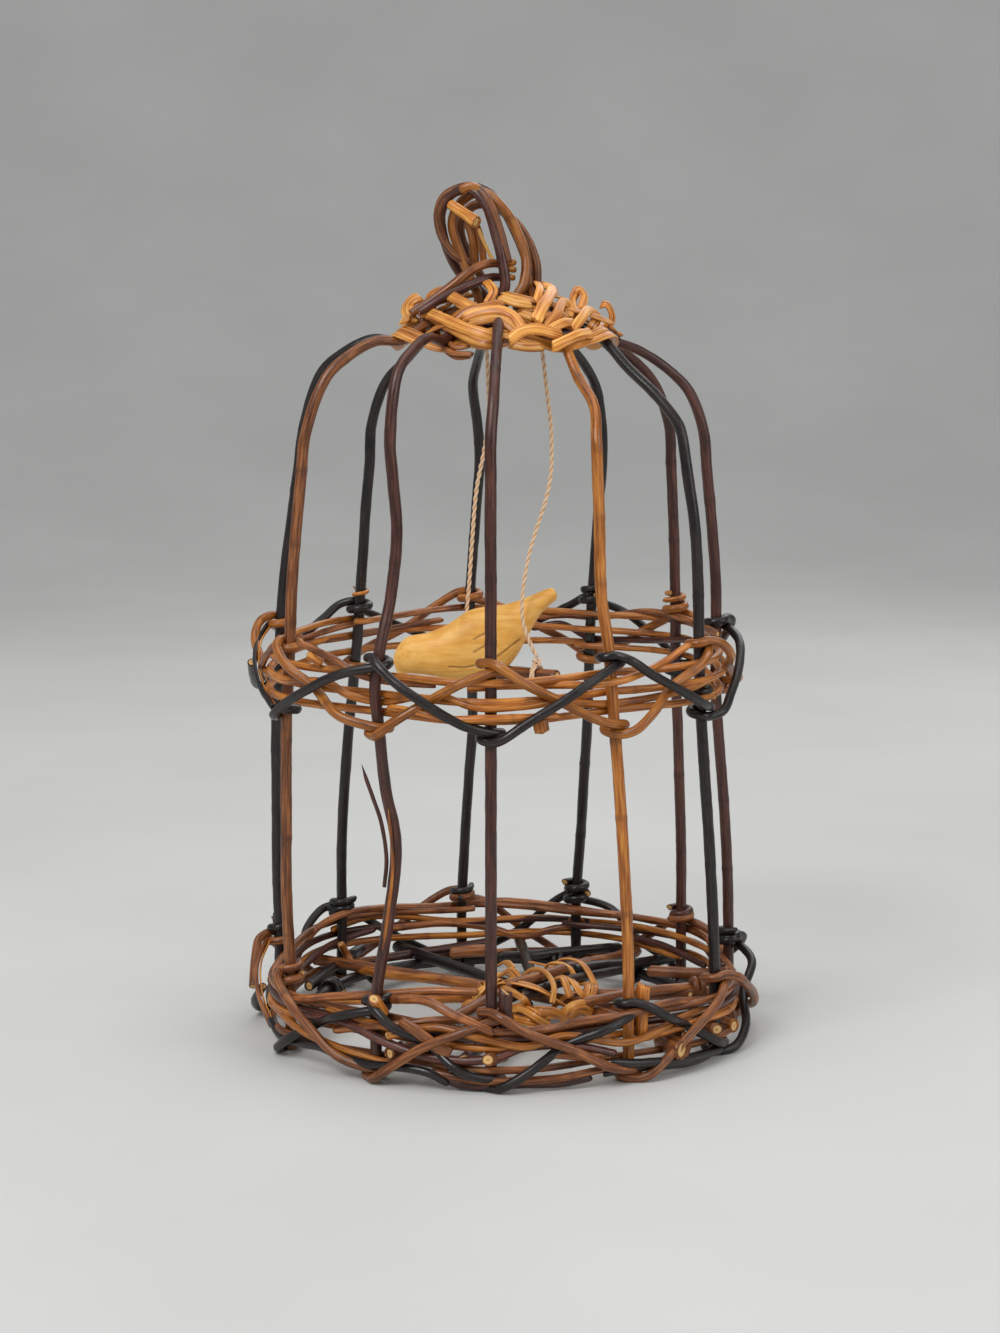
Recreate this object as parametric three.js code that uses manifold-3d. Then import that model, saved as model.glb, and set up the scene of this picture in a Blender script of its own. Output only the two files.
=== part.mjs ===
// Twig birdcage: eleven bark-on uprights, a woven base band and floor, a mid ring, a crown of split
// wood, a loop handle, and a swing of two twine cords with a perch and a carved bird.
// Millimetres, +Z up, the front is -Y, and the origin is on the ground under the middle of the cage.
import * as THREE from 'three';
import Module from 'manifold-3d';
import { mergeVertices } from 'three/addons/utils/BufferGeometryUtils.js';

const wasm = await Module();
wasm.setup();

// Thicknesses of the twigs, as radii, and the gap that touching pieces keep
const uprightRadius = 2.5;
const tipRadius = 2;
const weaverRadius = 1.7;
const zigzagRadius = 1.9;
const stickRadius = 2.9;
const hoopRadius = 2.6;
const strandRadius = 1.8;
const clearance = 0.3;

// The cage of uprights
const baseRadius = 104.5;
const waistRadius = 97.5;
const shoulderRadius = 92;
const footHeight = 1;
const waistHeight = 166;
const shoulderHeight = 278;

// The base band and the mid ring, by the heights of the middles of their knots
const baseBandBottom = 3.6;
const baseBandTop = 36;
const ringBottom = 158;
const ringTop = 187.5;
const ringWeaverPitch = 8;
const ringLean = 0.05;
const baseLean = 0.03;
const weaverLap = 0.1;

// The floor
const slathX = 16;
const slathY = -3;
const slathStart = 17.5;
const slathRingRadii = [23, 30];
const hoopRing = baseRadius - 15.5;
const splitWidth = 2.6;
const splitThickness = 0.9;

// The crown
const crownHeight = 319;
const crownRise = 17;
const crownRadius = 50;
const crownRingPitch = 7;
const crownRingCount = 4;
const crownSplitWidth = 2.9;
const crownSplitThickness = 1.1;
const legCircle = 12;

// The swing
const swingTurn = -33;
const barRadius = 2;
const twineRadius = 1;
const topKnotRadius = 2.2;
const lowKnotRadius = 2;
const perchRadius = 3.5;
const perchHeight = 166.6;
const perchOverhang = 11;

const rodSides = 6;
const cordSides = 8;
const flatShare = Math.cos(Math.PI / rodSides);

// Colours
const blackBark = 0x231c1c;
const darkRedBark = 0x502a1e;
const brownBark = 0x643a20;
const orangeBark = 0xa55f2d;
const splitWood = 0xd7964a;
const twineColour = 0xc9a98a;
const ochrePaint = 0xd7a54b;

const cage = new THREE.Group();

function rad(degrees) {
  return degrees * Math.PI / 180;
}

// A point at an angle from the front, a radius and a height.
function polar(angle, radius, height) {
  return new THREE.Vector3(radius * Math.sin(angle), -radius * Math.cos(angle), height);
}

function addMesh(name, geometry, colour, roughness) {
  const material = new THREE.MeshStandardMaterial({ color: colour, roughness, metalness: 0 });
  const mesh = new THREE.Mesh(geometry, material);
  mesh.name = name;
  cage.add(mesh);
}

// A rod with a ring of corners at each point and flat ends. Sizes are half sizes: one number for a
// round rod, or one number for each point. Depth is measured towards the up direction, which is one
// vector or one for each point.
function rodThrough(points, width, depth = width, sides = rodSides, up = null) {
  const count = points.length;
  const sizeAt = (size, i) => (Array.isArray(size) ? size[i] : size);
  const upAt = (i) => sizeAt(up, i);
  const tangents = points.map((point, i) => {
    const before = points[Math.max(i - 1, 0)];
    const after = points[Math.min(i + 1, count - 1)];
    return after.clone().sub(before).normalize();
  });
  let normal = up ? upAt(0).clone() : new THREE.Vector3(0, 0, 1);
  if (Math.abs(normal.dot(tangents[0])) > 0.95) {
    normal = new THREE.Vector3(0, 1, 0);
  }
  const positions = [];
  const indices = [];
  for (let i = 0; i < count; i += 1) {
    if (up) {
      normal = upAt(i).clone();
    }
    normal.addScaledVector(tangents[i], -normal.dot(tangents[i])).normalize();
    const side = tangents[i].clone().cross(normal);
    for (let j = 0; j < sides; j += 1) {
      const turn = 2 * Math.PI * (j + 0.5) / sides;
      const corner = points[i].clone();
      corner.addScaledVector(normal, sizeAt(depth, i) * Math.cos(turn));
      corner.addScaledVector(side, sizeAt(width, i) * Math.sin(turn));
      positions.push(corner.x, corner.y, corner.z);
    }
  }
  for (let i = 0; i < count - 1; i += 1) {
    for (let j = 0; j < sides; j += 1) {
      const a = i * sides + j;
      const b = i * sides + (j + 1) % sides;
      indices.push(a, b, a + sides);
      indices.push(b, b + sides, a + sides);
    }
  }
  const last = (count - 1) * sides;
  for (let j = 1; j < sides - 1; j += 1) {
    indices.push(0, j + 1, j);
    indices.push(last, last + j, last + j + 1);
  }
  const geometry = new THREE.BufferGeometry();
  geometry.setAttribute('position', new THREE.Float32BufferAttribute(positions, 3));
  geometry.setIndex(indices);
  return geometry;
}

function smooth(points, steps) {
  return new THREE.CatmullRomCurve3(points, false, 'centripetal').getSpacedPoints(steps);
}

// Solids for joining and cutting.
function toSolid(geometry) {
  const bare = geometry.clone();
  bare.deleteAttribute('normal');
  bare.deleteAttribute('uv');
  const merged = mergeVertices(bare, 1e-4);
  return new wasm.Manifold(new wasm.Mesh({
    numProp: 3,
    vertProperties: new Float32Array(merged.attributes.position.array),
    triVerts: new Uint32Array(merged.index.array),
  }));
}

function toGeometry(solid) {
  const mesh = solid.getMesh();
  const geometry = new THREE.BufferGeometry();
  geometry.setAttribute('position', new THREE.Float32BufferAttribute(mesh.vertProperties, 3));
  geometry.setIndex(new THREE.Uint32BufferAttribute(mesh.triVerts, 1));
  return geometry;
}

// Value in a column of a table whose first column goes up, at a position between its rows.
function between(table, position, column) {
  let i = 0;
  while (i < table.length - 2 && position > table[i + 1][0]) {
    i += 1;
  }
  const span = table[i + 1][0] - table[i][0];
  const share = Math.min(Math.max((position - table[i][0]) / span, 0), 1);
  return table[i][column] * (1 - share) + table[i + 1][column] * share;
}

// Radius of the cage at a height, below the shoulder.
const profile = [
  [0, baseRadius + 0.8],
  [60, baseRadius],
  [110, baseRadius - 3],
  [waistHeight, waistRadius],
  [225, waistRadius - 2],
  [shoulderHeight - 14, shoulderRadius + 1],
  [shoulderHeight, shoulderRadius],
];

// Height of the crown's spokes at a radius.
function crownSurface(radius) {
  return crownHeight + crownRise * (1 - (radius / crownRadius) ** 2);
}

// Angle from the front, bark, how much higher it bends in to the crown, and what its stem strays from
// the profile as [height, outward, sideways].
const uprights = [
  { name: 'upright_front', angle: -3, colour: darkRedBark, lift: 2, bends: [[0, 0, 0], [278, 0, -1]] },
  { name: 'upright_front_right', angle: 31, colour: orangeBark, lift: -16,
    bends: [[60, 0, 0], [128, -2, -1], [184, -5, -2], [210, -8, -4], [278, -8, -4.5]] },
  { name: 'upright_right_front', angle: 63, colour: blackBark, lift: -11, tip: 23.5,
    bends: [[35, 1.5, 0], [60, 1, 0], [150, 0, 0], [232, 0.5, 0], [278, -4, 0]] },
  { name: 'upright_right', angle: 99, colour: darkRedBark, lift: 2,
    bends: [[30, 3, 0], [99, 3, 0], [150, 2, 0], [200, 4, 0], [278, 1, 0]] },
  { name: 'upright_right_back', angle: 124, colour: darkRedBark, lift: 4,
    bends: [[40, 0, 0], [194, 3, 0], [278, 3, 0]] },
  { name: 'upright_back_right', angle: 155, colour: blackBark, lift: 2, spoke: 149,
    bends: [[40, 0, 8.5], [127, 0, 1], [196, 0, -3], [262, 0, -9.5], [278, 0, -9.5]] },
  { name: 'upright_back_left', angle: 190, colour: blackBark, lift: 2,
    bends: [[40, 0, 3], [98, 0, 0], [123, 0, -2], [190, 0, 0], [263, 0, -4.5], [278, 0, -3]] },
  { name: 'upright_left_back', angle: 228, colour: blackBark, lift: -7,
    bends: [[40, 3, 0], [77, 4, 0], [132, 2, 0], [194, -3, 0], [265, -7, 0], [278, -7, 0]] },
  { name: 'upright_left', angle: 258, colour: blackBark, lift: 10,
    bends: [[40, 4.5, 0], [95, 7.5, 0], [147, 11, 0], [198, 10, 0], [240, 6, 0], [278, 3, 0]] },
  { name: 'upright_left_front', angle: 294, colour: brownBark, lift: 9,
    bends: [[30, 0.5, 0], [56, 2.5, 0], [157, 8, 0], [219, 7, 0], [278, 4, 0]] },
  { name: 'upright_split', angle: 328, colour: darkRedBark, lift: 12,
    bends: [[40, 0, 0], [66, -3, 3.5], [103, -6, 4.5], [137, 0, 0], [152, 3, 0], [172, 5, -1.5],
      [188, 4, 0], [209, -2, 1], [243, -3.5, 3], [272, 0, 0]] },
];
const uprightCount = uprights.length;

function uprightPoint(index, height) {
  const upright = uprights[index % uprightCount];
  const angle = rad(upright.angle);
  const sideways = between(upright.bends, height, 2);
  const point = polar(angle, between(profile, height, 1) + between(upright.bends, height, 1), height);
  point.x += sideways * Math.cos(angle);
  point.y += sideways * Math.sin(angle);
  return point;
}

// A point beside an upright: along the band, outwards from the cage, at a height.
function besideUpright(index, along, outward, height) {
  const angle = rad(uprights[index % uprightCount].angle);
  const point = uprightPoint(index, height);
  point.x += along * Math.cos(angle) + outward * Math.sin(angle);
  point.y += along * Math.sin(angle) - outward * Math.cos(angle);
  return point;
}

// A point in the bay after an upright: share of the bay, outward offset and height.
function bayPoint(index, share, outward, height) {
  const from = uprightPoint(index, height);
  const to = uprightPoint(index + 1, height);
  const fromAngle = Math.atan2(from.x, -from.y);
  let toAngle = Math.atan2(to.x, -to.y);
  if (toAngle < fromAngle) {
    toAngle += 2 * Math.PI;
  }
  const radius = Math.hypot(from.x, from.y) * (1 - share) + Math.hypot(to.x, to.y) * share;
  return polar(fromAngle * (1 - share) + toAngle * share, radius + outward, height);
}

const stemHeights = [footHeight, 36, 70, 103, 128, 155, 172, 188, 210, 238, 260, shoulderHeight];
const spokeInner = legCircle + strandRadius + 2 * clearance;
const spokeRadii = [86, 75, 62, crownRadius, 43, 36, 28];
const bendHeights = [294, 305, 313.5];
const liftShares = [1, 0.85, 0.6];
uprights.forEach((upright, index) => {
  const route = stemHeights.map((height) => uprightPoint(index, height));
  const widths = stemHeights.map(() => uprightRadius);
  const shoulder = Math.hypot(route[route.length - 1].x, route[route.length - 1].y);
  [...spokeRadii, upright.tip ?? spokeInner].forEach((radius, i) => {
    if (radius > shoulder) {
      return;
    }
    const bent = bendHeights[i] + liftShares[i] * upright.lift;
    route.push(polar(rad(upright.spoke ?? upright.angle), radius, bent || crownSurface(radius)));
    widths.push(i < bendHeights.length ? uprightRadius : tipRadius);
  });
  addMesh(upright.name, rodThrough(route, widths), upright.colour, 0.6);
});

// The sliver that stands off the split upright.
const splitUpright = uprights.length - 1;
const sliverPoints = [
  besideUpright(splitUpright, -uprightRadius - 0.9 - clearance, 0, 84),
  besideUpright(splitUpright, -uprightRadius - 0.9 - clearance, 0.4, 96),
  besideUpright(splitUpright, -5, 0.8, 112),
  besideUpright(splitUpright, -6.5, 1.5, 123),
  besideUpright(splitUpright, -8.5, 3, 138),
];
addMesh('upright_split_sliver', rodThrough(sliverPoints, [0.9, 0.9, 0.8, 0.7, 0.4]), darkRedBark, 0.7);

// The mid ring leans up towards the back, and so does the upper side of the base band: a point is made
// at its height and what the lean adds there.
function raised(makePoint, height, rise) {
  return makePoint(height + rise(makePoint(height)));
}

function ringRise(point) {
  return ringLean * point.y;
}

function baseRise(point) {
  const share = (point.z - secondWeaver) / (topWeaver - secondWeaver);
  return baseLean * Math.min(Math.max(share, 0), 1) * point.y;
}

// Weavers go round once, in and out of the uprights, and lap across the one they start on.
const weaverOffset = uprightRadius + weaverRadius + 2 * clearance;

function weaver(name, start, firstSide, height, rise, colour) {
  const lapOffset = firstSide * 0.7 * weaverOffset;
  const points = [];
  const addPoint = (bay, share, outward) => {
    points.push(raised((level) => bayPoint(bay, share, outward, level), height, rise));
  };
  addPoint(start + uprightCount - 1, 1 - weaverLap, lapOffset);
  for (let visit = 0; visit <= uprightCount; visit += 1) {
    const side = visit % 2 === 0 ? firstSide : -firstSide;
    addPoint(start + visit, 0, side * weaverOffset);
    if (visit < uprightCount) {
      addPoint(start + visit, 1 / 3, side * weaverOffset / 2);
      addPoint(start + visit, 2 / 3, -side * weaverOffset / 2);
    }
  }
  addPoint(start, weaverLap, -lapOffset);
  addMesh(name, rodThrough(points, weaverRadius), colour, 0.55);
}

// The floor sticks pass through the band between its lowest weaver and the one above it.
const knotReach = zigzagRadius + clearance / 2 + zigzagRadius + weaverRadius + clearance;
const lowestWeaver = baseBandBottom + knotReach;
const floorHeight = lowestWeaver + weaverRadius + clearance + stickRadius;
const secondWeaver = floorHeight + stickRadius + clearance + weaverRadius;
const topWeaver = baseBandTop - knotReach - clearance;
const baseHeights = [lowestWeaver, secondWeaver, (secondWeaver + topWeaver) / 2, topWeaver];
const baseColours = [brownBark, orangeBark, darkRedBark, brownBark];
baseHeights.forEach((height, i) => {
  weaver('base_weaver_' + (i + 1), 3 + i, i % 2 === 0 ? 1 : -1, height, baseRise, baseColours[i]);
});
const ringMiddle = (ringBottom + ringTop) / 2;
[-1, 0, 1].forEach((step) => {
  const name = 'ring_weaver_' + (step + 2);
  const height = ringMiddle + step * ringWeaverPitch;
  weaver(name, 6 + step, step % 2 === 0 ? -1 : 1, height, ringRise, orangeBark);
});

// Zigzag rods run over the outside of the weavers and turn once round each upright, at the top and
// the bottom of the band in turn. Two of them in opposite phase cross in the middle of each bay.
const wrapSteps = 6;
const wrapRadius = (uprightRadius + zigzagRadius + clearance) / Math.cos(Math.PI / wrapSteps);
const wrapRise = zigzagRadius + clearance / 2;
const armOffset = weaverOffset + weaverRadius + zigzagRadius + 2 * clearance;
const innerCrossing = weaverRadius + clearance + zigzagRadius + 0.8;
const outerCrossing = innerCrossing + 2 * zigzagRadius + clearance + 0.6;

function zigzagRod(band, start, firstEnd, crossing) {
  const { low, high, rise } = band;
  const points = [];
  const addPoint = (bay, share, outward, height) => {
    points.push(raised((level) => bayPoint(bay, share, outward, level), height, rise));
  };
  for (let visit = 0; visit < uprightCount; visit += 1) {
    const index = start + visit;
    const end = visit % 2 === 0 ? firstEnd : -firstEnd;
    const middle = end > 0 ? high : low;
    if (visit > 0) {
      addPoint(index - 1, 0.78, armOffset - 0.2, middle - end * 6);
    }
    for (let turn = 0; turn <= wrapSteps; turn += 1) {
      const angle = 2 * Math.PI * turn / wrapSteps;
      const height = middle + end * wrapRise * (2 * turn / wrapSteps - 1);
      const along = wrapRadius * Math.sin(angle);
      const outward = wrapRadius * Math.cos(angle);
      points.push(raised((level) => besideUpright(index, along, outward, level), height, rise));
    }
    addPoint(index, 0.08, armOffset - 0.6, middle + end * 0.4);
    addPoint(index, 0.24, armOffset, middle - end * 6);
    const share = visit < uprightCount - 1 ? 0.5 : 0.42;
    addPoint(index, share, crossing, (low + high) / 2);
  }
  return rodThrough(points, zigzagRadius);
}

// What stands on the ground is cut flat at the height of zero.
function cutFlat(geometry) {
  const ground = new THREE.BoxGeometry(4 * baseRadius, 4 * baseRadius, 20);
  ground.translate(0, 0, -10);
  return toGeometry(toSolid(geometry).subtract(toSolid(ground)));
}

const zigzagStart = 9;
const baseBand = { low: baseBandBottom, high: baseBandTop, rise: baseRise };
const ringBand = { low: ringBottom, high: ringTop, rise: ringRise };
const baseInner = zigzagRod(baseBand, zigzagStart, -1, innerCrossing);
const baseOuter = zigzagRod(baseBand, zigzagStart, 1, outerCrossing);
const ringInner = zigzagRod(ringBand, zigzagStart, 1, innerCrossing);
const ringOuter = zigzagRod(ringBand, zigzagStart, -1, outerCrossing);
addMesh('base_zigzag_dark', cutFlat(baseInner), blackBark, 0.5);
addMesh('base_zigzag_brown', cutFlat(baseOuter), brownBark, 0.5);
addMesh('ring_zigzag_orange', ringInner, orangeBark, 0.5);
addMesh('ring_zigzag_black', ringOuter, blackBark, 0.5);

// Floor sticks. Each end leaves the band in a bay, at a share of the bay where no zigzag arm passes. Two
// sticks lie side by side over the others at the crossing.
const stickOut = 7;
const stickIn = 2;
const stickLevel = -12;
const overHeight = floorHeight + 2 * stickRadius + clearance;
const slathMiddle = new THREE.Vector3(slathX, slathY, floorHeight);
const crossingHalf = slathRingRadii[1] + 4;

function floorEnd([bay, share], outward) {
  return bayPoint(bay, share, outward, floorHeight);
}

// The pair runs from one place of the band, a bay and a share of it, to another.
const pairEnds = [[10, 0.35], [4, 0.35]];
const pairDirection = floorEnd(pairEnds[1], 0).sub(floorEnd(pairEnds[0], 0)).normalize();
const pairSide = new THREE.Vector3(pairDirection.y, -pairDirection.x, 0);

function overStick(sideStep, frontPlace, frontOut, backPlace, backOut) {
  const middle = new THREE.Vector3(slathX, slathY, overHeight).addScaledVector(pairSide, sideStep);
  const points = [
    floorEnd(frontPlace, frontOut),
    floorEnd(frontPlace, stickLevel),
    middle.clone().addScaledVector(pairDirection, -crossingHalf),
    middle.clone().addScaledVector(pairDirection, crossingHalf),
    floorEnd(backPlace, stickLevel),
    floorEnd(backPlace, backOut),
  ];
  return rodThrough(points, stickRadius);
}

const places = {
  frontLeft: [10, 0.2],
  frontMiddle: [10, 0.5],
  frontRight: [10, 0.8],
  rightFront: [1, 0.5],
  right: [1, 0.81],
  rightBack: [2, 0.8],
  backRight: [4, 0.2],
  back: [4, 0.5],
  backMiddle: [5, 0.5],
  backLeft: [6, 0.5],
  left: [7, 0.2],
  leftFront: [8, 0.5],
};
const pairStep = stickRadius + clearance / 2;
const overLeft = overStick(-pairStep, places.frontLeft, stickOut, places.back, stickIn);
const overRight = overStick(pairStep, places.frontMiddle, stickIn, places.backRight, stickOut);
addMesh('floor_stick_over_left', overLeft, brownBark, 0.6);
addMesh('floor_stick_over_right', overRight, blackBark, 0.6);
const throughEnds = [floorEnd(places.right, stickOut), floorEnd(places.left, stickOut)];
const throughPoints = [throughEnds[0], slathMiddle, throughEnds[1]];
addMesh('floor_stick_through', rodThrough(throughPoints, stickRadius), brownBark, 0.6);
const halfSticks = [
  ['floor_stick_left', places.leftFront, 1, stickIn, orangeBark],
  ['floor_stick_right', places.rightBack, 1, stickOut, brownBark],
  ['floor_stick_front', places.frontRight, 1, stickOut, darkRedBark],
  ['floor_stick_back', places.backMiddle, 1, stickIn, blackBark],
  ['floor_stick_front_right', places.rightFront, 2, stickIn, brownBark],
  ['floor_stick_back_left', places.backLeft, 1, stickIn, blackBark],
];
for (const [name, place, steps, outward, colour] of halfSticks) {
  const end = floorEnd(place, outward);
  const direction = end.clone().sub(slathMiddle).normalize();
  const start = slathMiddle.clone().addScaledVector(direction, slathStart * steps);
  addMesh(name, rodThrough([start, end], stickRadius), colour, 0.6);
}

// Two flat splits go round the crossing, over and under its arms in turn. Each arm is its angle seen
// from the crossing, half the width that the split stays level for, and its lowest and highest side.
const levelHalf = 2.4;
const lowUnder = floorHeight - stickRadius;
const lowOver = floorHeight + stickRadius;
const highUnder = overHeight - stickRadius;
const highOver = overHeight + stickRadius;

// Angle of a place in the band, seen from the crossing.
function armAngle(place) {
  const end = floorEnd(place, 0).sub(slathMiddle);
  return (Math.atan2(end.x, -end.y) + 2 * Math.PI) % (2 * Math.PI);
}

const oneStick = [levelHalf, lowUnder, lowOver];
const pairLevel = pairStep + levelHalf + 0.8;
const pairBack = Math.atan2(pairDirection.x, -pairDirection.y);
const pairAngle = pairBack + Math.PI;
const arms = [
  [pairAngle - 2 * Math.PI, armAngle(places.frontRight) - 2 * Math.PI, pairLevel, lowUnder, highOver],
  [armAngle(places.right), armAngle(places.right), ...oneStick],
  [armAngle(places.rightBack), armAngle(places.rightBack), ...oneStick],
  [pairBack, pairBack, pairLevel, highUnder, highOver],
  [armAngle(places.backMiddle), armAngle(places.backMiddle), ...oneStick],
  [armAngle(places.backLeft), armAngle(places.backLeft), ...oneStick],
  [armAngle(places.left), armAngle(places.left), ...oneStick],
  [armAngle(places.leftFront), armAngle(places.leftFront), ...oneStick],
];
const ringMeeting = (armAngle(places.leftFront) + pairAngle) / 2 + 0.1;

function slathRing(name, radius, firstSide) {
  const away = clearance + splitThickness;
  const points = [];
  const addPoint = (angle, height) => {
    const point = polar(angle, radius, height);
    points.push(point.add(new THREE.Vector3(slathX, slathY, 0)));
  };
  addPoint(ringMeeting - 2 * Math.PI + clearance / radius, floorHeight);
  arms.forEach(([from, to, half, lowest, highest], i) => {
    const over = i % 2 === 0 ? firstSide > 0 : firstSide < 0;
    const height = over ? highest + away : lowest - away;
    addPoint(from - half / radius, height);
    addPoint(to + half / radius, height);
  });
  addPoint(ringMeeting, floorHeight);
  const upwards = new THREE.Vector3(0, 0, 1);
  addMesh(name, rodThrough(points, splitWidth / 2, splitThickness, 4, upwards), splitWood, 0.5);
}

slathRing('floor_ring_inner', slathRingRadii[0], 1);
slathRing('floor_ring_outer', slathRingRadii[1], -1);

// The hoop under the sticks, open at the front.
const hoopHeight = floorHeight - (stickRadius + hoopRadius) * flatShare - clearance;
const hoopFrom = 66;
const hoopTurn = 224;
const hoopSteps = 24;
const hoopPoints = [];
for (let i = 0; i <= hoopSteps; i += 1) {
  hoopPoints.push(polar(rad(hoopFrom + hoopTurn * i / hoopSteps), hoopRing, hoopHeight));
}
addMesh('floor_hoop', rodThrough(hoopPoints, hoopRadius), blackBark, 0.6);

// Crown. Split strands go round over and under the uprights' tips, and more splits lie over them,
// each from the hole in the middle out to the rim.
const ringOver = tipRadius + crownSplitThickness + clearance + 0.5;

// The crown's outward normal at an angle and a radius.
function crownNormal(angle, radius) {
  const slope = 2 * crownRise * radius / crownRadius ** 2;
  return new THREE.Vector3(slope * Math.sin(angle), -slope * Math.cos(angle), 1).normalize();
}

function crownPoint(angle, radius, above) {
  const normal = crownNormal(angle, radius);
  return polar(angle, radius, crownSurface(radius)).addScaledVector(normal, above);
}

function spokeAngle(visit) {
  const turns = Math.floor(visit / uprightCount);
  const upright = uprights[visit - turns * uprightCount];
  return rad((upright.spoke ?? upright.angle) + 360 * turns);
}

function crownRing(name, radius, start, firstSide, colour) {
  const points = [];
  const ups = [];
  const addPoint = (visit, share, above) => {
    const angle = spokeAngle(visit) * (1 - share) + spokeAngle(visit + 1) * share;
    points.push(crownPoint(angle, radius, above));
    ups.push(crownNormal(angle, radius));
  };
  addPoint(start - 1, 1 - 2 * weaverLap, firstSide * ringOver);
  for (let visit = 0; visit <= uprightCount; visit += 1) {
    const side = visit % 2 === 0 ? firstSide : -firstSide;
    addPoint(start + visit, 0, side * ringOver);
    if (visit < uprightCount) {
      addPoint(start + visit, 0.5, 0);
    }
  }
  addPoint(start + uprightCount, 2 * weaverLap, -firstSide * ringOver);
  addMesh(name, rodThrough(points, crownSplitWidth, crownSplitThickness, rodSides, ups), colour, 0.45);
}

for (let i = 0; i < crownRingCount; i += 1) {
  const radius = crownRadius - 1 - i * crownRingPitch;
  crownRing('crown_ring_' + (i + 1), radius, 3 + 2 * i, i % 2 === 0 ? 1 : -1, splitWood);
}

const splitCount = 5;
const splitSteps = 6;
const splitInner = 17;
const splitOuter = 46;
const splitTurn = 78;
const splitAbove = ringOver + 2 * crownSplitThickness * flatShare + clearance;
for (let i = 0; i < splitCount; i += 1) {
  const points = [];
  const ups = [];
  for (let step = 0; step <= splitSteps; step += 1) {
    const share = step / splitSteps;
    const angle = rad(360 * i / splitCount + splitTurn * share);
    const radius = splitInner * (1 - share) + splitOuter * share;
    points.push(crownPoint(angle, radius, splitAbove));
    ups.push(crownNormal(angle, radius));
  }
  const split = rodThrough(points, crownSplitWidth, crownSplitThickness, rodSides, ups);
  addMesh('crown_split_' + (i + 1), split, splitWood, 0.45);
}

// Handle. Each strand of the loop has both feet between the uprights' tips; the points between the
// feet are [x, y, height].
const footLevel = crownSurface(legCircle) - strandRadius;
const footRise = 6;

function strandFoot(index, above) {
  return polar(rad(uprights[index].angle), legCircle, footLevel + above);
}

const strands = [
  { name: 'handle_strand_front', feet: [0, 7], colour: darkRedBark, points: [
    [0.5, -12, 344], [-1, -10.5, 355], [-4, -8, 367], [-8, -6, 379], [-15, -3, 386.2], [-23.5, 1, 384.5],
    [-28.5, 4.5, 376], [-26.5, 8, 362], [-20, 11, 349]] },
  { name: 'handle_strand_middle', feet: [1, 8], colour: orangeBark, points: [
    [8.5, -9.5, 343], [10, -7, 354], [6.5, -4, 366], [-0.5, -2, 378], [-10, 1.5, 385.5], [-19, 5, 381.5],
    [-23.5, 7, 372], [-19, 5.2, 356], [-14, 3.5, 344]] },
  { name: 'handle_strand_back', feet: [3, 6], colour: brownBark, points: [
    [14, 1.5, 343], [14.5, 2, 352], [11, 4, 363], [4, 6.5, 373], [-6, 9, 380], [-15, 11.5, 379],
    [-20, 13.5, 370], [-16, 15.5, 357], [-8, 15.5, 345]] },
];
for (const strand of strands) {
  const points = strand.points.map((point) => new THREE.Vector3(...point));
  const [first, second] = strand.feet;
  const rising = [strandFoot(first, 0), strandFoot(first, footRise)];
  const falling = [strandFoot(second, footRise), strandFoot(second, 0)];
  const route = [...rising, ...points, ...falling];
  addMesh(strand.name, rodThrough(smooth(route, 22), strandRadius), strand.colour, 0.35);
}

// Two strands lie over the left of the crown and pass behind the loop's front leg. Their points are
// [x, y, height over the crown's splits].
const rootAbove = splitAbove + (crownSplitThickness + strandRadius) * flatShare + clearance;
const roots = [
  { name: 'handle_root_upper', colour: brownBark, points: [
    [-42, -15, -0.6], [-34, -14, 0.2], [-24, -12.5, 3], [-13, -10, 8], [-5, -5.5, 9], [3, -2, 7]] },
  { name: 'handle_root_lower', colour: darkRedBark, points: [
    [-38, -20, -0.9], [-30, -19, 0], [-20, -16.5, 1], [-10, -11.5, 2.5], [-4, -6.5, 2.8], [2, -3, 2]] },
];
for (const root of roots) {
  const points = root.points.map(([x, y, above]) => (
    new THREE.Vector3(x, y, crownSurface(Math.hypot(x, y)) + rootAbove + above)));
  addMesh(root.name, rodThrough(smooth(points, 10), strandRadius), root.colour, 0.4);
}

// Swing. A short bar under the uprights' tips carries two twine loops; a cord hangs from each, and
// the cords' lower knots hold the perch. All of it lies in one upright plane, turned about the vertical.
const swingX = -2.35;
const swingY = 2.25;
const lowHalfSpan = 20.7;
const topHalfSpan = 14.6;
const topShift = 7.8;
const swingDirection = new THREE.Vector3(Math.cos(rad(swingTurn)), Math.sin(rad(swingTurn)), 0);
const barUnder = 24.5;
const barLeft = 11;
const barRight = 4.4;
const barHeight = crownSurface(barUnder) - tipRadius - clearance - barRadius;

function alongSwing(along, height) {
  return new THREE.Vector3(swingX, swingY, height).addScaledVector(swingDirection, along);
}

const barEnds = [topShift - topHalfSpan - barLeft, topShift + topHalfSpan + barRight];
const barPoints = barEnds.map((along) => alongSwing(along, barHeight));
addMesh('swing_bar', rodThrough(barPoints, barRadius, barRadius, cordSides), brownBark, 0.6);

// A loop of twine round a stick along X, with a knot ball above or below it.
function twineKnot(name, stickSize, ballRadius, ballSide, centre) {
  const loopRadius = stickSize + clearance + twineRadius;
  const loop = new THREE.TorusGeometry(loopRadius, twineRadius, 6, 12);
  loop.rotateY(Math.PI / 2);
  const ball = new THREE.SphereGeometry(ballRadius, 8, 6);
  ball.rotateX(Math.PI / 2);
  ball.translate(0, 0, ballSide * (loopRadius + ballRadius * 0.6));
  const geometry = toGeometry(toSolid(loop).add(toSolid(ball)));
  geometry.rotateZ(rad(swingTurn));
  geometry.translate(centre.x, centre.y, centre.z);
  addMesh(name, geometry, twineColour, 0.9);
  return loopRadius + ballRadius * 1.6 + clearance;
}

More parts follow.
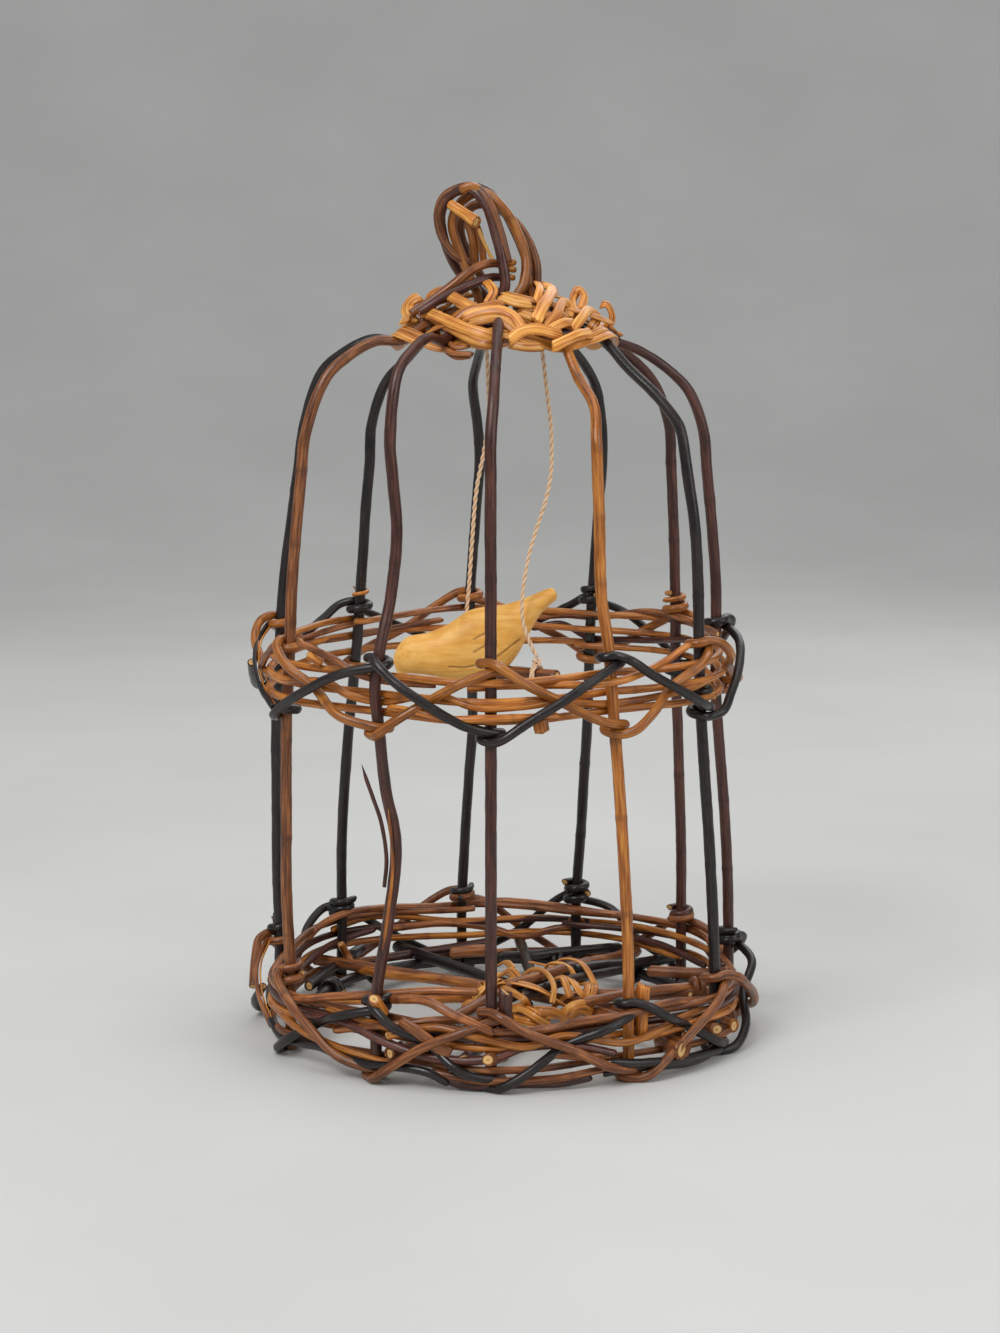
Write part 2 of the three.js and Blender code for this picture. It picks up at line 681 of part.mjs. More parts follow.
const sides = [['left', -1], ['right', 1]];
const cordRoutes = {
  left: [[-7.3, 5.4, 300], [-6.9, 5.2, 286], [-9.1, 6.8, 269], [-12.6, 9.2, 251], [-14.6, 10.8, 229],
    [-16.4, 12.9, 204], [-17.8, 13.7, 190]],
  right: [[19.2, -11.6, 297], [21.3, -12.8, 278], [21.2, -12.6, 260], [18.8, -11.4, 247],
    [14.6, -9.6, 233.5], [11, -9.8, 220.5], [8.4, -10.2, 203], [8.4, -10.2, 193], [11, -9.8, 184]],
};
for (const [side, sign] of sides) {
  const top = alongSwing(topShift + sign * topHalfSpan, barHeight);
  const low = alongSwing(sign * lowHalfSpan, perchHeight);
  const topDrop = twineKnot('swing_knot_top_' + side, barRadius, topKnotRadius, -1, top);
  const lowRise = twineKnot('swing_knot_low_' + side, perchRadius, lowKnotRadius, 1, low);
  top.z -= topDrop;
  low.z += lowRise;
  const bends = cordRoutes[side].map((point) => new THREE.Vector3(...point));
  const route = smooth([top, ...bends, low], 26);
  const cord = rodThrough(route, twineRadius, twineRadius, cordSides);
  addMesh('swing_cord_' + side, cord, twineColour, 0.9);
}

const perchEnds = [-1, 1].map((sign) => alongSwing(sign * (lowHalfSpan + perchOverhang), perchHeight));
addMesh('swing_perch', rodThrough(perchEnds, perchRadius, perchRadius, 12), darkRedBark, 0.6);

// Bird. Rings from the beak to the tail: [x, height over the perch, tilt, half depth, half width].
const birdY = 0.5;
const birdRings = [
  [-45.2, -1.6, 50, 0.9, 0.9],
  [-44.6, 2.2, 45, 3.8, 3.2],
  [-42.6, 6, 35, 6.9, 6.2],
  [-38, 9.6, 22, 9.2, 8.2],
  [-30, 10.8, 10, 10.9, 8.9],
  [-20, 12.2, 5, 14.8, 9.7],
  [-8, 14.4, 12, 16.4, 9.7],
  [2, 17.8, 28, 13.8, 8.6],
  [10, 23.6, 38, 9.4, 6.8],
  [17, 29.2, 38, 6.2, 5.6],
  [23, 33.6, 36, 4.6, 4.8],
  [26.2, 35.8, 36, 2.6, 3.4],
];

function loft(rings, sidesRound) {
  const positions = [];
  const indices = [];
  rings.forEach(([x, z, tilt, depth, width]) => {
    for (let j = 0; j < sidesRound; j += 1) {
      const turn = 2 * Math.PI * (j + 0.5) / sidesRound;
      const up = depth * Math.cos(turn);
      positions.push(x - up * Math.sin(rad(tilt)), -width * Math.sin(turn), z + up * Math.cos(rad(tilt)));
    }
  });
  for (let i = 0; i < rings.length - 1; i += 1) {
    for (let j = 0; j < sidesRound; j += 1) {
      const a = i * sidesRound + j;
      const b = i * sidesRound + (j + 1) % sidesRound;
      indices.push(a, b, a + sidesRound);
      indices.push(b, b + sidesRound, a + sidesRound);
    }
  }
  const last = (rings.length - 1) * sidesRound;
  for (let j = 1; j < sidesRound - 1; j += 1) {
    indices.push(0, j + 1, j);
    indices.push(last, last + j, last + j + 1);
  }
  const geometry = new THREE.BufferGeometry();
  geometry.setAttribute('position', new THREE.Float32BufferAttribute(positions, 3));
  geometry.setIndex(indices);
  return geometry;
}

const birdBody = loft(birdRings, 14);
birdBody.translate(0, birdY, perchHeight);
const groove = rodThrough(perchEnds, perchRadius + clearance, perchRadius + clearance, 12);
addMesh('carved_bird', toGeometry(toSolid(birdBody).subtract(toSolid(groove))), ochrePaint, 0.55);

export default cage;
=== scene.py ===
import bpy
import bmesh
import math
import random
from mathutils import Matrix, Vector, noise


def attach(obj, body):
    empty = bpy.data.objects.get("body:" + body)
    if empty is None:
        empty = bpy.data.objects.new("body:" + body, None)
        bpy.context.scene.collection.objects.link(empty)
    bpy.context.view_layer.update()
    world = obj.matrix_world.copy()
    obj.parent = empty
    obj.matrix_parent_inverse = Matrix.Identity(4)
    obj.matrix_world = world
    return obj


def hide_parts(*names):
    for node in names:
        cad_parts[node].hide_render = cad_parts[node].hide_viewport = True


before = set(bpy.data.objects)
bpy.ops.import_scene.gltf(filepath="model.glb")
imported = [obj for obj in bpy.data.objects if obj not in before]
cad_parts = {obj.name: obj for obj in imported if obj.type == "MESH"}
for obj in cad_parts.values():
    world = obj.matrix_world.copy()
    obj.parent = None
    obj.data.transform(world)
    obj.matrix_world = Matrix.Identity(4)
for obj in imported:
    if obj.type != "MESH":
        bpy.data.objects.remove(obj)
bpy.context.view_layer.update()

mm = 0.001  # lengths in this script are in millimetres until a mesh is made
noise.seed_set(1)  # the same stray bends in every run

view = {"focalPx": 2645, "middleX": 500, "middleY": 666.5, "frameHeightPx": 1333, "sensorMm": 36,
        "eye": Vector((-1.85, -1210, 331)), "pitch": 7.6}


def addCamera():
    camera = bpy.data.cameras.new("camera")
    camera.sensor_fit = "VERTICAL"
    camera.sensor_height = view["sensorMm"]
    camera.lens = view["sensorMm"] * view["focalPx"] / view["frameHeightPx"]
    holder = bpy.data.objects.new("camera", camera)
    bpy.context.scene.collection.objects.link(holder)
    holder.location = view["eye"] * mm
    holder.rotation_euler = (math.radians(90 - view["pitch"]), 0, 0)
    bpy.context.scene.camera = holder


addCamera()
print("camera ready")


# paths that the frame's twigs follow

cage = {
    "uprightRadius": 2.5, "tipRadius": 2, "weaverRadius": 1.7, "zigzagRadius": 1.9, "stickRadius": 2.9,
    "hoopRadius": 2.6, "strandRadius": 1.8, "clearance": 0.3, "sides": 6,
    "baseRadius": 104.5, "waistRadius": 97.5, "shoulderRadius": 92, "waistHeight": 166, "shoulderHeight": 278,
    "bandBottom": 3.6, "bandTop": 36, "ringBottom": 158, "ringTop": 187.5, "ringPitch": 8,
    "ringLean": 0.05, "baseLean": 0.03, "weaverLap": 0.1,
    "stems": [1, 36, 70, 103, 128, 155, 172, 188, 210, 238, 260, 278],
    "bendHeights": [294, 305, 313.5], "liftShares": [1, 0.85, 0.6], "spokeRadii": [86, 75, 62, 50, 43, 36, 28],
}

# bends are [height, outwards, sideways]
uprights = [
    {"node": "upright_front", "angle": -3, "bark": "darkRed", "tint": 0.84, "lift": 2,
     "bends": [[0, 0, 0], [278, 0, -1]]},
    {"node": "upright_front_right", "angle": 31, "bark": "orange", "tint": 0.87, "lift": -16,
     "bends": [[60, 0, 0], [128, -2, -1], [184, -5, -2], [210, -8, -4], [278, -8, -4.5]]},
    {"node": "upright_right_front", "angle": 63, "bark": "black", "tint": 1, "lift": -11, "tip": 23.5,
     "bends": [[35, 1.5, 0], [60, 1, 0], [150, 0, 0], [232, 0.5, 0], [278, -4, 0]]},
    {"node": "upright_right", "angle": 99, "bark": "darkRed", "tint": 0.92, "lift": 2,
     "bends": [[30, 3, 0], [99, 3, 0], [150, 2, 0], [200, 4, 0], [278, 1, 0]]},
    {"node": "upright_right_back", "angle": 124, "bark": "darkRed", "tint": 0.98, "lift": 4,
     "bends": [[40, 0, 0], [194, 3, 0], [278, 3, 0]]},
    {"node": "upright_back_right", "angle": 155, "bark": "black", "tint": 0.95, "lift": 2, "spoke": 149,
     "bends": [[40, 0, 8.5], [127, 0, 1], [196, 0, -3], [262, 0, -9.5], [278, 0, -9.5]]},
    {"node": "upright_back_left", "angle": 190, "bark": "black", "tint": 1, "lift": 2,
     "bends": [[40, 0, 3], [98, 0, 0], [123, 0, -2], [190, 0, 0], [263, 0, -4.5], [278, 0, -3]]},
    {"node": "upright_left_back", "angle": 228, "bark": "black", "tint": 1, "lift": -7,
     "bends": [[40, 3, 0], [77, 4, 0], [132, 2, 0], [194, -3, 0], [265, -7, 0], [278, -7, 0]]},
    {"node": "upright_left", "angle": 258, "bark": "black", "tint": 1.05, "lift": 10,
     "bends": [[40, 4.5, 0], [95, 7.5, 0], [147, 11, 0], [198, 10, 0], [240, 6, 0], [278, 3, 0]]},
    {"node": "upright_left_front", "angle": 294, "bark": "brown", "tint": 0.88, "lift": 9,
     "bends": [[30, 0.5, 0], [56, 2.5, 0], [157, 8, 0], [219, 7, 0], [278, 4, 0]]},
    {"node": "upright_split", "angle": 328, "bark": "darkRed", "tint": 0.9, "lift": 12,
     "bends": [[40, 0, 0], [66, -3, 3.5], [103, -6, 4.5], [137, 0, 0], [152, 3, 0], [172, 5, -1.5],
               [188, 4, 0], [209, -2, 1], [243, -3.5, 3], [272, 0, 0]]},
]

crown = {"height": 319, "rise": 17, "radius": 50, "ringPitch": 7, "ringCount": 4, "ringSpread": 1.6,
         "ringHalf": 2, "splitCount": 5, "splitSpread": (-1.4, 1.5), "splitHalf": 1.8, "splitThick": 1.1,
         "splitInner": 17, "splitOuter": 46, "splitTurn": 78, "legCircle": 12}

gap = cage["clearance"]
flatShare = math.cos(math.pi / cage["sides"])
uprightCount = len(uprights)


def between(table, position, column):
    i = 0
    while i < len(table) - 2 and position > table[i + 1][0]:
        i += 1
    span = table[i + 1][0] - table[i][0]
    share = min(max((position - table[i][0]) / span, 0), 1)
    return table[i][column] * (1 - share) + table[i + 1][column] * share


def polar(angle, radius, height):
    return Vector((radius * math.sin(angle), -radius * math.cos(angle), height))


profileTable = [
    [0, cage["baseRadius"] + 0.8], [60, cage["baseRadius"]], [110, cage["baseRadius"] - 3],
    [cage["waistHeight"], cage["waistRadius"]], [225, cage["waistRadius"] - 2],
    [cage["shoulderHeight"] - 14, cage["shoulderRadius"] + 1], [cage["shoulderHeight"], cage["shoulderRadius"]],
]


def crownSurface(radius):
    return crown["height"] + crown["rise"] * (1 - (radius / crown["radius"]) ** 2)


def crownNormal(angle, radius):
    slope = 2 * crown["rise"] * radius / crown["radius"] ** 2
    return Vector((slope * math.sin(angle), -slope * math.cos(angle), 1)).normalized()


def crownPoint(angle, radius, above):
    return polar(angle, radius, crownSurface(radius)) + crownNormal(angle, radius) * above


def uprightPoint(index, height):
    upright = uprights[index % uprightCount]
    angle = math.radians(upright["angle"])
    point = polar(angle, between(profileTable, height, 1) + between(upright["bends"], height, 1), height)
    sideways = between(upright["bends"], height, 2)
    return point + Vector((sideways * math.cos(angle), sideways * math.sin(angle), 0))


def besideUpright(index, along, outward, height):
    angle = math.radians(uprights[index % uprightCount]["angle"])
    point = uprightPoint(index, height)
    point.x += along * math.cos(angle) + outward * math.sin(angle)
    point.y += along * math.sin(angle) - outward * math.cos(angle)
    return point


def bayPoint(index, share, outward, height):
    # between one upright and the next
    start, end = uprightPoint(index, height), uprightPoint(index + 1, height)
    startAngle, endAngle = math.atan2(start.x, -start.y), math.atan2(end.x, -end.y)
    if endAngle < startAngle:
        endAngle += 2 * math.pi
    radius = math.hypot(start.x, start.y) * (1 - share) + math.hypot(end.x, end.y) * share
    return polar(startAngle * (1 - share) + endAngle * share, radius + outward, height)


def cageRadius(angle, height):
    # radius of the ring through all the uprights, at an angle from the front
    spots = [uprightPoint(i, height) for i in range(uprightCount)]
    angles = [math.atan2(p.x, -p.y) for p in spots]
    for i in range(uprightCount):
        following = (i + 1) % uprightCount
        span = (angles[following] - angles[i]) % (2 * math.pi)
        past = (angle - angles[i]) % (2 * math.pi)
        if past <= span:
            share = past / span
            a, b = spots[i], spots[following]
            return math.hypot(a.x, a.y) * (1 - share) + math.hypot(b.x, b.y) * share
    return cage["baseRadius"]


# places seen at a pixel of the photograph, set on what carries the piece

crownSearch = {"from": 1120, "step": 0.5, "count": 400}  # distances from the camera


def photoRay(x, y):
    pitch = math.radians(view["pitch"])
    across = (x - view["middleX"]) / view["focalPx"]
    down = (y - view["middleY"]) / view["focalPx"]
    forward = Vector((0, math.cos(pitch), -math.sin(pitch)))
    up = Vector((0, math.sin(pitch), math.cos(pitch)))
    return forward + Vector((across, 0, 0)) - up * down


def onBand(x, y, outward, back=False):
    # on the ring through the uprights, at the front or the back
    eye, ray = view["eye"], photoRay(x, y)
    radius = cage["baseRadius"]
    for _ in range(12):
        a = ray.x ** 2 + ray.y ** 2
        b = 2 * (eye.x * ray.x + eye.y * ray.y)
        c = eye.x ** 2 + eye.y ** 2 - (radius + outward) ** 2
        root = math.sqrt(max(b * b - 4 * a * c, 0))
        place = eye + ray * ((-b + root if back else -b - root) / (2 * a))
        radius = cageRadius(math.atan2(place.x, -place.y), place.z)
    return place


def onCrown(x, y, above):
    # where the line of sight meets the dome, or passes nearest to it
    eye, ray = view["eye"], photoRay(x, y)
    steps = [eye + ray * (crownSearch["from"] + crownSearch["step"] * i) for i in range(crownSearch["count"])]
    over = [p.z - crownSurface(math.hypot(p.x, p.y)) - above for p in steps]
    for place, height in zip(steps, over):
        if height <= 0:
            return place
    return min(zip(steps, over), key=lambda pair: abs(pair[1]))[0]


def atDepth(x, y, depth):
    ray = photoRay(x, y)
    return view["eye"] + ray * ((depth - view["eye"].y) / ray.y)


def atLevel(x, y, level):
    ray = photoRay(x, y)
    return view["eye"] + ray * ((level - view["eye"].z) / ray.z)


def seenAt(place, seen):
    return [place(*spot) for spot in seen]


def smoothRoute(points, step):
    # an even run of places along the centripetal curve through the points
    padded = [points[0] * 2 - points[1]] + list(points) + [points[-1] * 2 - points[-2]]
    fine = [points[0].copy()]
    for i in range(1, len(padded) - 2):
        p0, p1, p2, p3 = padded[i - 1:i + 3]
        t1 = max((p1 - p0).length, 1e-6) ** 0.5
        t2 = t1 + max((p2 - p1).length, 1e-6) ** 0.5
        t3 = t2 + max((p3 - p2).length, 1e-6) ** 0.5
        parts = max(4, int((p2 - p1).length / step) * 3)
        for k in range(1, parts + 1):
            t = t1 + (t2 - t1) * k / parts
            a1 = p0 * ((t1 - t) / t1) + p1 * (t / t1)
            a2 = p1 * ((t2 - t) / (t2 - t1)) + p2 * ((t - t1) / (t2 - t1))
            a3 = p2 * ((t3 - t) / (t3 - t2)) + p3 * ((t - t2) / (t3 - t2))
            b1 = a1 * ((t2 - t) / t2) + a2 * (t / t2)
            b2 = a2 * ((t3 - t) / (t3 - t1)) + a3 * ((t - t1) / (t3 - t1))
            fine.append(b1 * ((t2 - t) / (t2 - t1)) + b2 * ((t - t1) / (t2 - t1)))
    runs = runsAlong(fine)
    count = max(3, round(runs[-1] / step))
    route, k = [], 0
    for i in range(count + 1):
        wanted = runs[-1] * i / count
        while k < len(runs) - 2 and runs[k + 1] < wanted:
            k += 1
        share = (wanted - runs[k]) / max(runs[k + 1] - runs[k], 1e-9)
        route.append(fine[k].lerp(fine[k + 1], min(max(share, 0), 1)))
    return route


def runsAlong(route):
    # the distance walked at each place
    runs = [0]
    for a, b in zip(route, route[1:]):
        runs.append(runs[-1] + (b - a).length)
    return runs


# materials

def shade(red, green, blue):
    # the colour as a painter names it, 0 to 255
    def linear(value):
        value /= 255
        return value / 12.92 if value <= 0.04045 else ((value + 0.055) / 1.055) ** 2.4
    return (linear(red), linear(green), linear(blue), 1)


class Nodes:
    # a material's node tree with short ways to add what all of these woods need
    def __init__(self, name):
        self.material = bpy.data.materials.new(name)
        self.material.use_nodes = True
        self.tree = self.material.node_tree
        self.shader = self.tree.nodes["Principled BSDF"]

    def add(self, kind, **values):
        node = self.tree.nodes.new(kind)
        for key, value in values.items():
            setattr(node, key, value)
        return node

    def link(self, source, target):
        self.tree.links.new(source, target)

    def attribute(self, name):
        return self.add("ShaderNodeAttribute", attribute_name=name)

    def noise(self, source, stretch, scale, detail=4, rough=0.55):
        mapping = self.add("ShaderNodeMapping")
        mapping.inputs["Scale"].default_value = stretch
        self.link(source, mapping.inputs["Vector"])
        texture = self.add("ShaderNodeTexNoise")
        texture.inputs["Scale"].default_value = scale
        texture.inputs["Detail"].default_value = detail
        texture.inputs["Roughness"].default_value = rough
        self.link(mapping.outputs["Vector"], texture.inputs["Vector"])
        return texture.outputs["Fac"]

    def ramp(self, source, *stops):
        ramp = self.add("ShaderNodeValToRGB")
        elements = ramp.color_ramp.elements
        while len(elements) < len(stops):
            elements.new(0.5)
        for element, (position, colour) in zip(elements, stops):
            element.position = position
            element.color = shade(*colour)
        self.link(source, ramp.inputs["Fac"])
        return ramp.outputs["Color"]

    def span(self, source, low, high, newLow, newHigh):
        node = self.add("ShaderNodeMapRange")
        for key, value in zip(("From Min", "From Max", "To Min", "To Max"), (low, high, newLow, newHigh)):
            node.inputs[key].default_value = value
        self.link(source, node.inputs["Value"])
        return node.outputs["Result"]

    def over(self, colour, share, top):
        # a second colour laid over the first by a share
        node = self.add("ShaderNodeMix", data_type="RGBA")
        self.link(share, node.inputs[0])
        self.link(colour, node.inputs[6])
        node.inputs[7].default_value = shade(*top)
        return node.outputs[2]

    def sum(self, first, second, weight):
        node = self.add("ShaderNodeMath", operation="MULTIPLY_ADD")
        self.link(second, node.inputs[0])
        node.inputs[1].default_value = weight
        self.link(first, node.inputs[2])
        return node.outputs[0]

    def paint(self, colour):
        self.link(colour, self.shader.inputs["Base Color"])

    def paintByPiece(self, colour):
        # each piece has its own lightness
        bright = self.add("ShaderNodeHueSaturation")
        self.link(self.attribute("tint").outputs["Fac"], bright.inputs["Value"])
        self.link(colour, bright.inputs["Color"])
        self.paint(bright.outputs["Color"])

    def rough(self, source, low, high):
        self.link(self.span(source, 0.3, 0.7, low, high), self.shader.inputs["Roughness"])

    def bump(self, height, distance, strength):
        node = self.add("ShaderNodeBump")
        node.inputs["Distance"].default_value = distance
        node.inputs["Strength"].default_value = strength
        self.link(height, node.inputs["Height"])
        self.link(node.outputs["Normal"], self.shader.inputs["Normal"])


barks = {
    "black": {"dark": (12, 9, 10), "mid": (25, 19, 19), "light": (50, 39, 36), "fleck": (96, 82, 74),
              "flecks": 0.67, "rough": (0.22, 0.42), "slot": "black_bark"},
    "darkRed": {"dark": (40, 20, 17), "mid": (68, 35, 28), "light": (100, 56, 42), "fleck": (146, 100, 76),
                "flecks": 0.68, "rough": (0.24, 0.44), "slot": "dark_red_bark"},
    "brown": {"dark": (62, 31, 16), "mid": (120, 68, 34), "light": (172, 108, 58), "fleck": (206, 150, 96),
              "flecks": 0.69, "rough": (0.26, 0.46), "slot": "brown_bark"},
    "orange": {"dark": (100, 52, 19), "mid": (173, 101, 36), "light": (213, 141, 60), "fleck": (232, 178, 108),
               "flecks": 0.72, "rough": (0.24, 0.42), "slot": "orange_bark"},
}


def makeBark(name, look):
    # grain runs along the twig, with pale pores, paler worn patches and darker scar rings
    m = Nodes(name)
    place = m.attribute("grainPlace").outputs["Vector"]
    grain = m.noise(place, (1, 1, 0.06), 1100, 4, 0.5)
    patch = m.noise(place, (1, 1, 0.5), 90, 3)
    pores = m.noise(place, (1, 1, 0.5), 2600, 1)
    wrinkle = m.noise(place, (1, 1, 0.04), 2600, 3)
    colour = m.ramp(m.sum(grain, patch, 0.45), (0.48, look["dark"]), (0.72, look["mid"]), (0.95, look["light"]))
    colour = m.over(colour, m.span(pores, look["flecks"], look["flecks"] + 0.05, 0, 0.6), look["fleck"])
    colour = m.over(colour, m.span(m.attribute("scar").outputs["Fac"], 0, 1, 0, 0.75), look["dark"])
    m.paintByPiece(colour)
    m.rough(patch, *look["rough"])
    m.bump(m.sum(m.sum(grain, wrinkle, 0.5), pores, 0.5), 0.0002, 0.4)
    return m.material


def makeSplitWood():
    # peeled wood: long fibres, darker streaks where bark was left
    m = Nodes("splitWood")
    place = m.attribute("grainPlace").outputs["Vector"]
    fibre = m.noise(place, (1, 1, 0.02), 1500, 3, 0.5)
    streak = m.noise(place, (1, 1, 0.05), 520, 2)
    patch = m.noise(place, (1, 1, 0.6), 70, 2)
    mixed = m.span(m.sum(m.sum(fibre, streak, 0.6), patch, 0.5), 0.76, 1.34, 0, 1)
    m.paintByPiece(m.ramp(mixed, (0.05, (104, 52, 18)), (0.26, (168, 96, 34)), (0.55, (208, 136, 54)),
                          (0.9, (235, 178, 94))))
    m.rough(streak, 0.3, 0.5)
    m.bump(m.sum(fibre, streak, 0.8), 0.0002, 0.3)
    return m.material


def makeCutWood():
    # the end of a cut twig: dark pith, pale wood in faint rings, bark round it
    m = Nodes("cutWood")
    pith = m.attribute("fromPith").outputs["Fac"]
    rays = m.noise(m.add("ShaderNodeTexCoord").outputs["Object"], (1, 1, 1), 1600, 4, 0.65)
    m.paint(m.ramp(m.sum(pith, rays, 0.16), (0.1, (70, 40, 24)), (0.22, (196, 150, 92)), (0.62, (226, 186, 122)),
                   (0.86, (186, 128, 68)), (1.0, (66, 36, 24))))
    m.shader.inputs["Roughness"].default_value = 0.7
    m.bump(rays, 0.0003, 0.6)
    return m.material


def makeTwineFinish():
    # two plies of soft fibre, with painted shade in the groove between them
    m = Nodes("twine")
    fibre = m.noise(m.attribute("grainPlace").outputs["Vector"], (1, 1, 0.2), 3200, 4, 0.65)
    # painted shade: darker where the section is nearest its middle, in the groove between the plies
    hollowShade = m.attribute("fromPith").outputs["Fac"]
    m.paint(m.ramp(m.sum(hollowShade, fibre, 0.35), (0.2, (110, 70, 44)), (0.55, (186, 132, 92)),
                   (0.95, (222, 178, 136)), (1.2, (240, 208, 172))))
    m.shader.inputs["Roughness"].default_value = 0.9
    m.shader.inputs["Sheen Weight"].default_value = 0.25
    m.bump(fibre, 0.0003, 0.7)
    return m.material


def makeOchrePaint():
    # thin satin paint on carved wood: soft grain, fine pores, painted shade in the cuts
    m = Nodes("ochrePaint")
    spot = m.add("ShaderNodeTexCoord").outputs["Object"]
    grain = m.noise(spot, (0.12, 1, 1), 420, 4, 0.6)
    patch = m.noise(spot, (1, 1, 1), 55, 3)
    pores = m.noise(spot, (0.35, 1, 1), 1900, 2)
    colour = m.ramp(m.sum(grain, patch, 0.8), (0.6, (220, 153, 62)), (0.85, (234, 171, 76)), (1.05, (244, 188, 98)))
    colour = m.over(colour, m.span(pores, 0.69, 0.75, 0, 0.3), (170, 112, 46))
    # painted shade darkens the paint along the wing's cuts
    m.paint(m.over(colour, m.attribute("carved").outputs["Fac"], (128, 84, 32)))
    m.rough(patch, 0.42, 0.56)
    m.bump(m.sum(grain, pores, -0.7), 0.0001, 0.3)
    return m.material


finishes = {name: makeBark(name + "Bark", look) for name, look in barks.items()}
finishes.update({"split": makeSplitWood(), "cut": makeCutWood(), "twine": makeTwineFinish(),
                 "paint": makeOchrePaint()})
slots = {name: look["slot"] for name, look in barks.items()}
slots.update({"split": "split_wood", "twine": "twine", "paint": "ochre_paint"})
print("materials ready")


# twigs, splits and twine: a curve along the route with a cross-section, made a mesh

sections = {"twig": [], "half": [], "flat": [], "twine": []}
sectionSides = {"twig": 12, "half": 12, "flat": 12, "twine": 16}


def addSection(kind):
    sides = sectionSides[kind]
    for j in range(sides):
        turn = 2 * math.pi * j / sides
        x, y = math.cos(turn), math.sin(turn)
        if kind == "half":
            y = y * 0.8 + 0.1 if y > 0 else y * 0.3 + 0.1
        if kind == "flat":
            x = math.copysign(abs(x) ** 0.7, x)
            y = math.copysign(abs(y) ** 0.8, y) * 0.36
        if kind == "twine":
            reach = 0.58 + 0.42 * abs(x) ** 1.3
            x, y = x * reach, y * reach
        sections[kind].append((x, y))
    bpy.ops.object.select_all(action="DESELECT")
    bpy.ops.curve.primitive_bezier_circle_add()
    outline = bpy.context.object
    outline.name = "section_" + kind
    outline.data.splines.clear()
    spline = outline.data.splines.new("POLY")
    spline.points.add(sides - 1)
    for point, (x, y) in zip(spline.points, sections[kind]):
        point.co = (x, y, 0, 1)
    spline.use_cyclic_u = True
    return outline


outlines = {kind: addSection(kind) for kind in sections}


def sweep(name, route, radii, kind, tilts=None):
    bpy.ops.object.select_all(action="DESELECT")
    bpy.ops.curve.primitive_bezier_curve_add()
    rod = bpy.context.object
    rod.name = name
    rod.data.splines.clear()
    spline = rod.data.splines.new("POLY")
    spline.points.add(len(route) - 1)
    for i, point in enumerate(spline.points):
        point.co = (*(route[i] * mm), 1)
        point.radius = radii[i] * mm
        point.tilt = tilts[i] if tilts else 0
    rod.data.bevel_mode = "OBJECT"
    rod.data.bevel_object = outlines[kind]
    rod.data.twist_mode = "Z_UP" if tilts and kind != "twine" else "MINIMUM"
    bpy.ops.object.convert(target="MESH")
    rod = bpy.context.object
    rod.name = name
    rod.data.name = name
    return rod


def setValues(mesh, name, values, kind="FLOAT"):
    attribute = mesh.attributes.new(name, kind, "POINT")
    attribute.data.foreach_set("vector" if kind == "FLOAT_VECTOR" else "value", values)


surfaceLook = {"seedStep": 0.037, "lumpSeed": 91, "lumpRun": 0.22, "lumpSpread": 1.4}


def dress(rod, kind, route, radii, finish, seed, lumps, scars, tint, slant, capFinish):
    # lumps, capped ends, and the values that the materials read
    sides = sectionSides[kind]
    mesh = rod.data
    shape = sections[kind]
    runs = runsAlong(route)
    last = len(route) - 1
    shift = seed * surfaceLook["seedStep"]
    spread = surfaceLook["lumpSpread"]
    for i in range(len(route)):
        middle = route[i] * mm
        along = shift * surfaceLook["lumpSeed"] + runs[i] * surfaceLook["lumpRun"]
        for j in range(sides):
            vertex = mesh.vertices[i * sides + j]
            swell = noise.noise(Vector((along, shape[j][0] * spread, shape[j][1] * spread)))
            vertex.co = middle + (vertex.co - middle) * (1 + lumps * swell)
    for end, step, lean in ((0, 1, slant[0]), (last, -1, slant[1])):
        if lean:
            away = (route[end] - route[end + step]).normalized()
            for j in range(sides):
                mesh.vertices[end * sides + j].co += away * lean * mm * shape[j][0]
    place, pith, scarValues = [], [], []
    for i in range(len(route)):
        for x, y in shape:
            place += [x * radii[i] * mm, y * radii[i] * mm, runs[i] * mm + shift]
            # a twine's distance from its middle paints shade into the groove between its plies; other pieces get 1
            pith.append(min(math.hypot(x, y), 1) if kind == "twine" else 1)
            scarValues.append(scars[i])
    mesh.materials.clear()
    mesh.materials.append(finishes[finish])
    mesh.materials.append(finishes[capFinish])
    bm = bmesh.new()
    bm.from_mesh(mesh)
    bm.verts.ensure_lookup_table()
    for face in bm.faces:
        face.smooth = True
    rims = [(end, [bm.verts[end * sides + j] for j in range(sides)]) for end in (0, last)]
    for end, rim in rims:
        hub = bm.verts.new(sum((v.co for v in rim), Vector()) / sides)
        for j in range(sides):
            face = bm.faces.new((hub, rim[j], rim[(j + 1) % sides]))
            face.material_index = 1
            face.smooth = False
        place += [0, 0, runs[end] * mm + shift]
        pith.append(0)
        scarValues.append(0)
    bmesh.ops.recalc_face_normals(bm, faces=bm.faces)
    bm.to_mesh(mesh)
    bm.free()
    while mesh.uv_layers:
        mesh.uv_layers.remove(mesh.uv_layers[0])
    setValues(mesh, "grainPlace", place, "FLOAT_VECTOR")
    setValues(mesh, "fromPith", pith)
    setValues(mesh, "scar", scarValues)
    setValues(mesh, "tint", [tint] * len(mesh.vertices))
    return rod


def settle(piece, body="cage", node=None):
    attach(piece, body)
    if node:
        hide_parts(node)
    return piece


twigLook = {"step": 2.2, "wobble": 0.3, "wobbleRun": 30, "fadeRun": 6, "swell": 0.03, "swellRun": 9, "lumps": 0.05,
            "budFrom": (4, 20), "budGap": (26, 60), "budSize": 0.07, "budHalf": 1.3, "scar": 0.8,
            "chamfer": 0.3, "endShare": 0.86}


